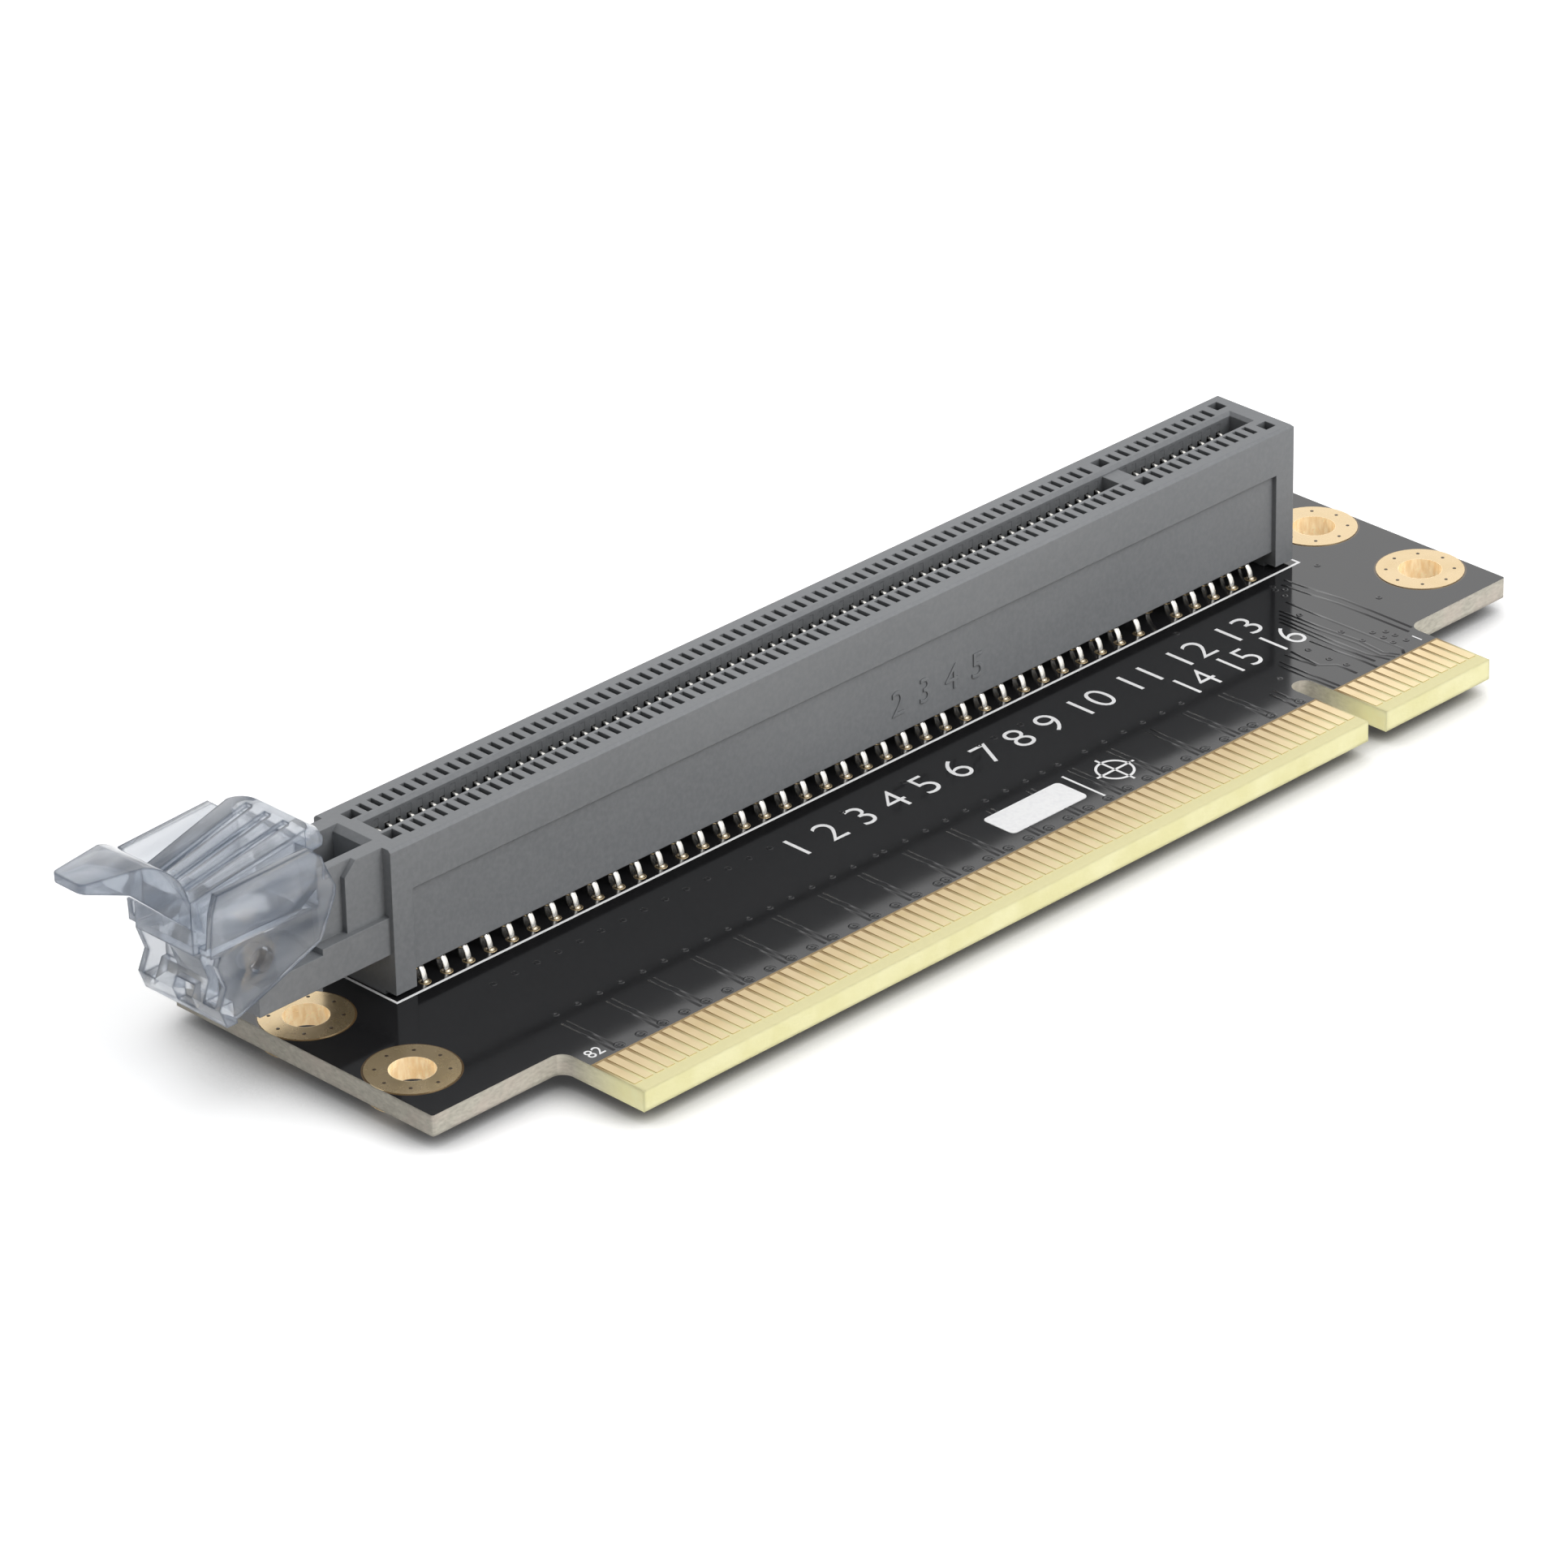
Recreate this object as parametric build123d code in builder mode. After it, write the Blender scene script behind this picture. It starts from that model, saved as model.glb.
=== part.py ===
"""Riser card: a circuit board with an edge connector below and an upright card slot above.

The slot's moulded housing ends in a tail that carries a clear latch, which pivots to let go of the
plugged-in card. Millimetres. The origin is the middle of the four mounting holes, on the board's
underside. +X runs along the slot away from the latch, -Y points out through the edge connector,
and +Z points out of the slot's mouth.
"""

from build123d import *
import math
import os

os.makedirs("parts", exist_ok=True)

# Circuit board
board_length = 106.5
board_front_y = -10.6
board_back_y = 14.8
board_thickness = 1.57
board_corner_radius = 0.2

# Contact field, the same in the slot and on the edge connector
contact_pitch = 1.0
short_count = 11
long_count = 71
key_gap = 3.0
field_length = (short_count - 1 + long_count - 1) * contact_pitch + key_gap

# Edge connector
edge_centre_x = 0.45
edge_reach = 7.71
edge_margin = 0.6
edge_root_radius = 1.0
notch_width = 1.9
notch_depth = 7.8
finger_width = 0.7
finger_length = 3.65
finger_setback = 1.11
plating = 0.05

# Mounting holes and their plated lands
hole_spacing_x = 100.1
hole_spacing_y = 10.4
hole_radius = 1.6
land_radius = 3.25

# Slot housing, heights counted from the board's top face
slot_y = 6.1
housing_width = 7.5
housing_height = 11.25
panel_recess = 0.38
band_height = 3.52
panel_lift = 1.43
post_lift = 0.31
post_width = 1.85
foot_inset = 1.15
top_edge_chamfer = 0.2
slot_width = 1.92
slot_margin = 1.25
slot_mouth_chamfer = 0.25
slot_floor = 2.25
end_wall = 1.75
key_rib_width = 1.65
key_rib_drop = 0.35

# Cells that hold the contacts, measured across from the slot's middle
cell_width = 0.44
cell_inner = 1.45
cell_outer = 2.72
cell_rail_depth = 0.52

# Blind holes in the housing's top; each place is along from the nearest contact and across from the middle
core_size = (1.0, 1.05)
core_depth = 5.0
core_at_first = (1.44, 2.4)
core_at_key = (1.3, 2.15)
core_at_last = (1.24, 2.0)

# Locating pegs under the housing
peg_radius = 1.1
peg_clearance = 0.075
peg_reach = 1.1
peg_chamfer = 0.3
peg_from_last = 1.65

# Contacts, measured across from the slot's middle
contact_width = 0.36
contact_thickness = 0.28
contact_root = 2.3
bump_reach = 0.4
bump_drop = 1.12
tip_reach = 1.75
tip_drop = 0.57
tail_outer = 3.25
tail_inner = 1.25
tail_below = 0.95

# Housing tail that carries the latch
tail_length = 11.65
tail_step = 5.95
beam_width = 6.8
beam_lift = 3.33
beam_depth = 2.8
beam_step_drop = 0.45
pocket_width = 3.44
pocket_setback = 0.15
pocket_chamfer = 0.45
tail_wall = 0.78
tail_panel = 0.45
tail_panel_length = 3.35
tail_panel_chamfer = 1.0
pivot_inset = 0.2
pivot_height = 7.73
ear_radius = 1.8
pin_radius = 0.95
pin_clearance = 0.05

# Latch, points counted from its pivot as (along X, up)
cheek_thickness = 0.5
cheek_clearance = 0.15
grip_face = [(-3.75, 1.85), (-4.1, 1.2), (-3.45, -0.6), (-4.1, -2.05), (-3.55, -3.5)]
cheek_lower_edge = [(0.4, -2.18), (4.9, -0.4), (6.3, 2.5)]
grip_wall_x = -2.65
grip_half_width = 2.35
grip_cell_x = -3.05
grip_cells = [((0.7, -0.6), (2.5, 1.2)), ((-1.25, -3.0), (0.6, -1.3))]
shelf_left = -4.6
shelf_right = 5.0
shelf_top = 2.5
shelf_thickness = 0.5
wing_right = [(6.3, 3.2), (4.8, 6.1), (3.4, 7.3)]
wing_left = (-4.5, 7.0)
wing_mid_height = 2.8
wing_mid_flare = 0.3
wing_height = 5.0
wing_flare = 1.0
crown_left = (-5.05, 5.9)
crown_right = (4.9, 8.0)
crown_left_half = 2.85
crown_right_half = 3.65
crown_wall = 0.9
groove_depth = 0.3
groove_width = 0.6
groove_start = 0.8
groove_spread = [-0.5, 0.0, 0.5]
lip_profile = [(4.3, 7.87), (4.9, 8.0), (5.8, 7.35), (6.25, 6.6), (5.8, 6.2), (4.3, 6.2)]
tab_tip = (-12.8, 9.75)
tab_shoulder = (-8.25, 9.6)
tab_bend = (-6.6, 8.7)
tab_under = [(-4.6, 2.5), (-5.05, 3.9), (-9.4, 7.95), (-12.9, 9.15)]
tab_tip_half = 1.4
tab_shoulder_half = 2.3
tab_corner_radius = 0.6
tab_root = 0.5

# Places worked out from the sizes above
board_top = board_thickness
housing_top = board_top + housing_height
floor_z = board_top + slot_floor
panel_bottom = board_top + panel_lift
post_bottom = board_top + post_lift
band_bottom = housing_top - band_height
panel_half = housing_width / 2 - panel_recess
slot_half_length = field_length / 2 + slot_margin
housing_half_length = slot_half_length + end_wall
edge_half_length = field_length / 2 + edge_margin
edge_front_y = board_front_y - edge_reach
beam_bottom = board_top + beam_lift
beam_top = beam_bottom + beam_depth
tail_end_x = -housing_half_length - tail_length
tail_step_x = -housing_half_length - tail_step
pivot_x = tail_end_x + pivot_inset
pivot_z = board_top + pivot_height
wall_outer = pocket_width / 2 + tail_wall
ear_inner = pocket_width / 2
cheek_inner = beam_width / 2 + cheek_clearance
cheek_outer = cheek_inner + cheek_thickness
overlap = 0.2


def field_positions(centre):
    """X of the contacts of both sections, from the first to the last."""
    first = centre + field_length / 2
    second = first - (short_count - 1) * contact_pitch - key_gap
    short = [first - i * contact_pitch for i in range(short_count)]
    long = [second - i * contact_pitch for i in range(long_count)]
    return short, long


slot_short, slot_long = field_positions(0.0)
edge_short, edge_long = field_positions(edge_centre_x)
slot_key_x = (slot_short[-1] + slot_long[0]) / 2
edge_key_x = (edge_short[-1] + edge_long[0]) / 2
peg_xs = [slot_key_x, slot_long[-1] - peg_from_last]
slot_plane = Plane.XZ.offset(-slot_y)


def from_pivot(points):
    """Places of points that are counted from the latch's pivot."""
    return [(pivot_x + x, pivot_z + z) for x, z in points]


# Board: one outline with the edge connector, its key notch, mounting holes and peg holes
with BuildPart() as circuit_board:
    with BuildSketch() as outline:
        with Locations((0, (board_front_y + board_back_y) / 2)):
            Rectangle(board_length, board_back_y - board_front_y)
        fillet(outline.vertices(), board_corner_radius)
        with Locations((edge_centre_x, edge_front_y)):
            Rectangle(2 * edge_half_length, 2 * edge_reach, align=(Align.CENTER, Align.MIN))
        roots = [
            corner for corner in outline.vertices()
            if abs(corner.Y - board_front_y) < plating
            and abs(corner.X - edge_centre_x) < edge_half_length + plating
        ]
        fillet(roots, edge_root_radius)
    extrude(amount=board_thickness)
    with BuildSketch():
        with Locations((edge_key_x, edge_front_y + notch_depth - notch_width / 2)):
            Circle(notch_width / 2)
            Rectangle(notch_width, notch_depth, align=(Align.CENTER, Align.MAX))
        with GridLocations(hole_spacing_x, hole_spacing_y, 2, 2):
            Circle(hole_radius + plating)
        with Locations(*[(x, slot_y) for x in peg_xs]):
            Circle(peg_radius + peg_clearance)
    extrude(amount=board_thickness, mode=Mode.SUBTRACT)
circuit_board.part.label = "circuit_board"
export_step(circuit_board.part, "parts/circuit_board.step")


# Lands: plated holes with a ring on each face, held on the board like eyelets
with BuildPart() as mounting_lands:
    with BuildSketch(Plane.XY.offset(-plating)):
        with GridLocations(hole_spacing_x, hole_spacing_y, 2, 2):
            Circle(land_radius)
            Circle(hole_radius, mode=Mode.SUBTRACT)
    extrude(amount=board_thickness + 2 * plating)
    with BuildSketch():
        with GridLocations(hole_spacing_x, hole_spacing_y, 2, 2):
            Circle(land_radius + plating)
            Circle(hole_radius + plating, mode=Mode.SUBTRACT)
    extrude(amount=board_thickness, mode=Mode.SUBTRACT)
mounting_lands.part.label = "mounting_lands"
export_step(mounting_lands.part, "parts/mounting_lands.step")


# Edge fingers: flat plated pads, one group for each section of each face
for face_name, face_z in (("top", board_top), ("bottom", -plating)):
    for section_name, xs in (("short", edge_short), ("long", edge_long)):
        with BuildPart() as fingers:
            with BuildSketch(Plane.XY.offset(face_z)):
                with Locations(*[(x, edge_front_y + finger_setback) for x in xs]):
                    Rectangle(finger_width, finger_length, align=(Align.CENTER, Align.MIN))
            extrude(amount=plating)
        fingers.part.label = f"{face_name}_{section_name}_edge_fingers"
        export_step(fingers.part, f"parts/{fingers.part.label}.step")


# One cell, open at the top and, through its window, to the slot; the far row's is its mirror image
with BuildPart() as cell_pair:
    with BuildSketch(Plane.YZ):
        with BuildLine():
            Polyline(
                (cell_outer, housing_top),
                (cell_outer, floor_z),
                (0, floor_z),
                (0, housing_top - cell_rail_depth),
                (cell_inner, housing_top - cell_rail_depth),
                (cell_inner, housing_top),
                close=True,
            )
        make_face()
    extrude(amount=cell_width / 2, both=True)
    mirror(about=Plane.XZ)

# Ears on the tail's end, bored for the latch's pins
with BuildPart() as pivot_ears:
    with BuildSketch(slot_plane):
        with Locations((pivot_x, pivot_z)):
            Circle(ear_radius)
        with Locations((tail_end_x, beam_bottom)):
            Rectangle(
                pivot_inset + ear_radius, pivot_z - beam_bottom, align=(Align.MIN, Align.MIN)
            )
    extrude(amount=wall_outer, both=True)
    with BuildSketch(slot_plane):
        with Locations((pivot_x, pivot_z)):
            Circle(pin_radius + pin_clearance)
    extrude(amount=wall_outer, both=True, mode=Mode.SUBTRACT)
    with BuildSketch(slot_plane):
        with Locations((pivot_x, pivot_z)):
            Rectangle(4 * ear_radius, 4 * pivot_height)
    extrude(amount=ear_inner, both=True, mode=Mode.SUBTRACT)

# Housing: a deep upper band, set-back side panels, end posts on feet, pegs, and the latch's tail
with BuildPart() as slot_housing:
    with BuildSketch(Plane.XY.offset(band_bottom)):
        with Locations((0, slot_y)):
            Rectangle(2 * housing_half_length, housing_width)
    extrude(amount=band_height)
    free_top_edges = slot_housing.faces().sort_by(Axis.Z)[-1].edges().sort_by(Axis.X)[1:]
    chamfer(free_top_edges, top_edge_chamfer)
    with BuildSketch(Plane.XY.offset(panel_bottom)):
        with Locations((0, slot_y)):
            Rectangle(2 * housing_half_length, 2 * panel_half)
    extrude(amount=band_bottom - panel_bottom)
    post_centre = housing_half_length - post_width / 2
    with BuildSketch(Plane.XY.offset(post_bottom)):
        with Locations((-post_centre, slot_y), (post_centre, slot_y)):
            Rectangle(post_width, housing_width)
    extrude(amount=band_bottom - post_bottom)
    with BuildSketch(Plane.XY.offset(board_top)):
        with Locations((-post_centre, slot_y), (post_centre, slot_y)):
            Rectangle(post_width, housing_width - 2 * foot_inset)
    extrude(amount=post_lift)
    with BuildSketch(Plane.XY.offset(panel_bottom)):
        with Locations(*[(x, slot_y) for x in peg_xs]):
            Circle(peg_radius)
    extrude(amount=-(panel_bottom + peg_reach))
    chamfer(slot_housing.faces().sort_by(Axis.Z)[0].edges(), peg_chamfer)
    # Slot, with its lead-in edges and the key rib left standing
    with BuildSketch(Plane.XY.offset(housing_top - slot_mouth_chamfer)) as slot_plan:
        with Locations((0, slot_y)):
            Rectangle(2 * slot_half_length, slot_width)
    extrude(amount=slot_mouth_chamfer, taper=-45, mode=Mode.SUBTRACT)
    extrude(slot_plan.sketch, amount=floor_z + slot_mouth_chamfer - housing_top, mode=Mode.SUBTRACT)
    # Cells for the contacts
    with Locations(*[(x, slot_y, 0) for x in slot_short + slot_long]):
        add(cell_pair.part, mode=Mode.SUBTRACT)
    with BuildSketch(Plane.XY.offset(floor_z)):
        with Locations((slot_key_x, slot_y)):
            Rectangle(key_rib_width, slot_width)
    extrude(amount=housing_top - key_rib_drop - floor_z)
    # Blind holes that keep the moulding's thick ends from sinking
    core_places = [
        (slot_short[0] + core_at_first[0], core_at_first[1]),
        (slot_short[-1] - core_at_key[0], core_at_key[1]),
        (slot_long[-1] - core_at_last[0], core_at_last[1]),
    ]
    with BuildSketch(Plane.XY.offset(housing_top)):
        for side in (-1, 1):
            with Locations(*[(x, slot_y + side * across) for x, across in core_places]):
                Rectangle(*core_size)
    extrude(amount=-core_depth, mode=Mode.SUBTRACT)
    # Tail: a stepped beam, the two walls of the card's foot pocket and their raised outer panels
    with BuildSketch(slot_plane):
        with BuildLine():
            Polyline(
                (-housing_half_length + overlap, beam_bottom),
                (-housing_half_length + overlap, beam_top),
                (tail_step_x, beam_top),
                (tail_step_x, beam_top - beam_step_drop),
                (tail_end_x, beam_top - beam_step_drop),
                (tail_end_x, beam_bottom),
                close=True,
            )
        make_face()
    extrude(amount=beam_width / 2, both=True)
    with BuildSketch(Plane.XY.offset(beam_top - overlap)):
        with Locations((-housing_half_length + overlap, slot_y)):
            Rectangle(tail_step + overlap, 2 * wall_outer, align=(Align.MAX, Align.CENTER))
    extrude(amount=housing_top - beam_top + overlap)
    with BuildSketch(slot_plane):
        panel_left = -housing_half_length - tail_panel_length
        with BuildLine():
            Polyline(
                (-housing_half_length + overlap, beam_top - overlap),
                (-housing_half_length + overlap, housing_top),
                (panel_left + tail_panel_chamfer, housing_top),
                (panel_left, housing_top - tail_panel_chamfer),
                (panel_left, beam_top - overlap),
                close=True,
            )
        make_face()
    extrude(amount=wall_outer + tail_panel, both=True)
    with BuildSketch(Plane.YZ.offset(-housing_half_length - pocket_setback)):
        with BuildLine():
            Polyline(
                (slot_y - pocket_width / 2, beam_top),
                (slot_y + pocket_width / 2, beam_top),
                (slot_y + pocket_width / 2, housing_top),
                (slot_y - pocket_width / 2, housing_top),
                close=True,
            )
        make_face()
    extrude(amount=-tail_step, mode=Mode.SUBTRACT)
    pocket_rim = [
        edge for edge in slot_housing.edges().filter_by(Axis.Y)
        if abs(edge.center().X + housing_half_length + pocket_setback) < pocket_setback / 2
        and abs(edge.center().Z - housing_top) < pocket_setback / 2
    ]
    chamfer(pocket_rim, pocket_chamfer)
    add(pivot_ears.part)
slot_housing.part.label = "slot_housing"
export_step(slot_housing.part, "parts/slot_housing.step")


def contact_outline(tail_y):
    """A contact seen along the slot: tail, root in the floor, sprung beam, bump and tip."""
    half = contact_thickness / 2
    beam_lean = (contact_root - bump_reach) / (housing_top - bump_drop - floor_z)
    shoulder_y = bump_reach + contact_thickness + beam_lean * contact_thickness
    return [
        (tail_y, -tail_below),
        (contact_root + half, floor_z),
        (shoulder_y, housing_top - bump_drop - contact_thickness),
        (tip_reach, housing_top - tip_drop),
        (bump_reach, housing_top - bump_drop),
        (contact_root - half, floor_z),
    ]


# Contacts: tails step between an outer and an inner line, so each row is two groups
for row_name, side in (("front", -1), ("back", 1)):
    for section_name, xs, first_odd in (("short", slot_short, True), ("long", slot_long, False)):
        for line_name, tail_y in (("outer", tail_outer), ("inner", tail_inner)):
            outer_starts_odd = side > 0
            wanted = (line_name == "outer") == outer_starts_odd
            start = 0 if first_odd == wanted else 1
            contact_points = [(slot_y + side * y, z) for y, z in contact_outline(tail_y)]
            with BuildPart() as contacts:
                for x in xs[start::2]:
                    with BuildSketch(Plane.YZ.offset(x)):
                        with BuildLine():
                            Polyline(*contact_points, close=True)
                        make_face()
                    extrude(amount=contact_width / 2, both=True)
            contacts.part.label = f"{row_name}_{line_name}_{section_name}_contacts"
            export_step(contacts.part, f"parts/{contacts.part.label}.step")


# Latch wings: flared side walls, trimmed to the side outline
with BuildPart() as latch_wings:
    wing_left_x = pivot_x + shelf_left
    wing_right_x = pivot_x + cheek_lower_edge[-1][0]
    flare_steps = [(0, 0), (wing_mid_height, wing_mid_flare), (wing_height, wing_flare)]
    for rise, flare in flare_steps:
        with BuildSketch(Plane.XY.offset(pivot_z + shelf_top + rise)):
            with Locations((wing_left_x, slot_y + cheek_inner + flare)):
                Rectangle(wing_right_x - wing_left_x, cheek_thickness, align=(Align.MIN, Align.MIN))
    loft(ruled=True)
    mirror(about=slot_plane)
    with BuildSketch(slot_plane):
        with BuildLine():
            Polyline(
                *from_pivot([(shelf_left, shelf_top), cheek_lower_edge[-1], *wing_right, wing_left]),
                close=True,
            )
        make_face()
    extrude(amount=2 * cheek_outer, both=True, mode=Mode.INTERSECT)

# Latch crown: the middle block under the ribbed top, wider toward the slot, and the hollow inside it
def crown_wedge(left, right, left_half, right_half, drop):
    """A block with a trapezoid plan whose top slopes as the crown's does, lowered by a drop."""
    left_x, left_z = from_pivot([left])[0]
    right_x, right_z = from_pivot([right])[0]
    bottom = pivot_z + shelf_top - shelf_thickness
    with BuildPart() as wedge:
        with BuildSketch(Plane.XY.offset(bottom)):
            with BuildLine():
                Polyline(
                    (left_x, slot_y - left_half),
                    (right_x, slot_y - right_half),
                    (right_x, slot_y + right_half),
                    (left_x, slot_y + left_half),
                    close=True,
                )
            make_face()
        extrude(amount=right_z - bottom)
        with BuildSketch(slot_plane):
            with BuildLine():
                Polyline(
                    (left_x, bottom),
                    (right_x, bottom),
                    (right_x, right_z - drop),
                    (left_x, left_z - drop),
                    close=True,
                )
            make_face()
        extrude(amount=right_half, both=True, mode=Mode.INTERSECT)
    return wedge.part


crown_slope = (crown_right[1] - crown_left[1]) / (crown_right[0] - crown_left[0])
hollow_left = (grip_wall_x, crown_left[1] + crown_slope * (grip_wall_x - crown_left[0]))
hollow_right = (crown_right[0] - crown_wall, crown_right[1] - crown_slope * crown_wall)
crown_block = crown_wedge(crown_left, crown_right, crown_left_half, crown_right_half, 0)
crown_hollow = crown_wedge(
    hollow_left, hollow_right, crown_left_half - crown_wall, crown_right_half - crown_wall, crown_wall
)

# Latch tab: the finger lever, a wedge that narrows toward its tip and curves down into the crown
with BuildPart() as latch_tab:
    with BuildSketch(slot_plane):
        with BuildLine():
            tip, shoulder, bend, crown_edge = from_pivot([tab_tip, tab_shoulder, tab_bend, crown_left])
            root_x = crown_edge[0] + tab_root
            Line(tip, shoulder)
            ThreePointArc(shoulder, bend, crown_edge)
            root_top = (root_x, crown_edge[1])
            root_foot = (root_x, pivot_z + shelf_top)
            Polyline(crown_edge, root_top, root_foot, *from_pivot(tab_under), tip)
        make_face()
    extrude(amount=crown_left_half, both=True)
    with BuildSketch(Plane.XY.offset(pivot_z)) as tab_plan:
        with BuildLine():
            tip_x = pivot_x + tab_under[-1][0]
            Polyline(
                (tip_x, slot_y - tab_tip_half),
                (shoulder[0], slot_y - tab_shoulder_half),
                (root_x, slot_y - crown_left_half),
                (root_x, slot_y + crown_left_half),
                (shoulder[0], slot_y + tab_shoulder_half),
                (tip_x, slot_y + tab_tip_half),
                close=True,
            )
        make_face()
        fillet(tab_plan.vertices().group_by(Axis.X)[0], tab_corner_radius)
    extrude(amount=housing_height, mode=Mode.INTERSECT)

# Latch pins: they reach in from the cheeks through the bores of the ears
with BuildPart() as latch_pins:
    with BuildSketch(slot_plane) as pin_outline:
        with Locations((pivot_x, pivot_z)):
            Circle(pin_radius)
    extrude(amount=cheek_inner + overlap, both=True)
    extrude(pin_outline.sketch, amount=ear_inner, both=True, mode=Mode.SUBTRACT)

# Latch: two cheeks, the shelf across them, the crown and its lip, wings, grip wall and tab in one moulding
with BuildPart() as retention_latch:
    with BuildSketch(slot_plane) as cheek_outline:
        with BuildLine():
            shelf_edge = [(shelf_left, shelf_top), (shelf_left, shelf_top - shelf_thickness)]
            Polyline(*from_pivot(shelf_edge + grip_face + cheek_lower_edge), close=True)
        make_face()
    extrude(amount=cheek_outer, both=True)
    extrude(cheek_outline.sketch, amount=cheek_inner, both=True, mode=Mode.SUBTRACT)
    with BuildSketch(slot_plane):
        with Locations((pivot_x + shelf_left, pivot_z + shelf_top)):
            Rectangle(shelf_right - shelf_left, shelf_thickness, align=(Align.MIN, Align.MAX))
    extrude(amount=cheek_outer, both=True)
    with BuildSketch(slot_plane):
        with BuildLine():
            wall_foot = (grip_wall_x, grip_face[-1][1])
            wall_ends = [wall_foot, (grip_wall_x, shelf_top), (grip_face[0][0], shelf_top)]
            Polyline(*from_pivot(grip_face + wall_ends), close=True)
        make_face()
    extrude(amount=grip_half_width, both=True)
    with BuildSketch(slot_plane):
        with BuildLine():
            bar_ends = [(grip_wall_x, grip_face[-1][1]), (grip_wall_x, grip_face[-2][1])]
            Polyline(*from_pivot(grip_face[-2:] + bar_ends), close=True)
        make_face()
    extrude(amount=cheek_outer, both=True)
    with BuildSketch(Plane.YZ.offset(pivot_x + grip_cell_x)):
        for (low_y, low_z), (high_y, high_z) in grip_cells:
            with Locations((slot_y + low_y, pivot_z + low_z)):
                Rectangle(high_y - low_y, high_z - low_z, align=(Align.MIN, Align.MIN))
    extrude(amount=grip_cell_x - shelf_left, dir=(-1, 0, 0), mode=Mode.SUBTRACT)
    add(crown_block)
    add(latch_tab.part)
    add(latch_wings.part)
    add(crown_hollow, mode=Mode.SUBTRACT)
    # Fanned grooves along the crown's top
    top_left, top_right = from_pivot([crown_left, crown_right])
    run_x = top_right[0] - top_left[0]
    run_z = top_right[1] - top_left[1]
    run = math.hypot(run_x, run_z)
    crown_top = Plane((top_left[0], slot_y, top_left[1]), x_dir=(run_x, 0, run_z), z_dir=(-run_z, 0, run_x))
    with BuildSketch(crown_top):
        for share in groove_spread:
            near = share * crown_left_half
            far = share * crown_right_half
            with BuildLine():
                Polyline(
                    (groove_start, near - groove_width / 2),
                    (run, far - groove_width / 2),
                    (run, far + groove_width / 2),
                    (groove_start, near + groove_width / 2),
                    close=True,
                )
            make_face()
    extrude(amount=-groove_depth, mode=Mode.SUBTRACT)
    with BuildSketch(slot_plane):
        with BuildLine():
            Polyline(*from_pivot(lip_profile), close=True)
        make_face()
    extrude(amount=crown_right_half, both=True)
    add(latch_pins.part)
retention_latch.part.label = "retention_latch"
export_step(retention_latch.part, "parts/retention_latch.step")
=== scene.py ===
# %% [markdown]
# # A riser card and its finishes
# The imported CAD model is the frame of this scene: the board, the upright slot, the contacts and the
# clear latch already have their real places and sizes. The lesson gives every surface its finish and
# adds what is too fine for the CAD: bent contact tails, solder, vias, traces and printed marks.
# Loading the frame first means that every later size can be read from the CAD boxes.

# %% Load the frame
import math
import bmesh
import bpy
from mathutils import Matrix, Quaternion, Vector


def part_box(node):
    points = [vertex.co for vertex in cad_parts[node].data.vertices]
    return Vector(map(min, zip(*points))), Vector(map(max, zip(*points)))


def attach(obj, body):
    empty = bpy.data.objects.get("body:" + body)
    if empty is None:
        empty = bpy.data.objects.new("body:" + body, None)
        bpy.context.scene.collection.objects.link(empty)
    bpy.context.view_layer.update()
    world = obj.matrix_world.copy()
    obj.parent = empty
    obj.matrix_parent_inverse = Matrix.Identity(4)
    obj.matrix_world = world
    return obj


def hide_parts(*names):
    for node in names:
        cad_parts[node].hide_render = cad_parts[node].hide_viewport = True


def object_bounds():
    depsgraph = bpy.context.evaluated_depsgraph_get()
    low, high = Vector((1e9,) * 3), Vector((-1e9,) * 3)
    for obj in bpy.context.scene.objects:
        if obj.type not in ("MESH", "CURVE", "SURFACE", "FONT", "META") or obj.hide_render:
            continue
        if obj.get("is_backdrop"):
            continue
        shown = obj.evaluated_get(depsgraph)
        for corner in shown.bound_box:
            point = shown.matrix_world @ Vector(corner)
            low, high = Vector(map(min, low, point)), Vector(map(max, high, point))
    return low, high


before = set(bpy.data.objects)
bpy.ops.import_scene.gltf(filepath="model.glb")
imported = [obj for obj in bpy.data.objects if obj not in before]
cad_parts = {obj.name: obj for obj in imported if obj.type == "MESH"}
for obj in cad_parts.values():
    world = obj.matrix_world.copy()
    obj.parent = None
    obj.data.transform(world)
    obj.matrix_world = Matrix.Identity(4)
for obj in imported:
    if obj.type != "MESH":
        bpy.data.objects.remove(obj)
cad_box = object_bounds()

mm = 0.001
stage = bpy.context.scene.collection
print("nodes:", sorted(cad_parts))

# %% [markdown]
# ## Camera
# The picture was taken from the front left and above, from about half a metre with a long lens, so
# parallel edges hardly converge. The place, aim and roll below came from lining up the slot's even
# row of contacts. A camera set by measured numbers is easier to trust than one moved by eye.

# %% Camera
camera_lens = 186.43
camera_roll = math.radians(-1.21)
camera_place = Vector((-0.35470, -0.35192, 0.26750))
camera_aim = Vector((0.61735, 0.63095, -0.46987))

lens = bpy.data.cameras.new("camera")
lens.lens = camera_lens
lens.sensor_width = 36
lens.clip_start = 0.01
lens.clip_end = 5
camera = bpy.data.objects.new("camera", lens)
camera.location = camera_place
looking = camera_aim.to_track_quat("-Z", "Y") @ Quaternion((0, 0, 1), camera_roll)
camera.rotation_euler = looking.to_euler()
stage.objects.link(camera)
bpy.context.scene.camera = camera
bpy.context.scene.view_settings.view_transform = "Standard"
print("camera distance:", round(camera_place.length / mm), "mm")

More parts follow.
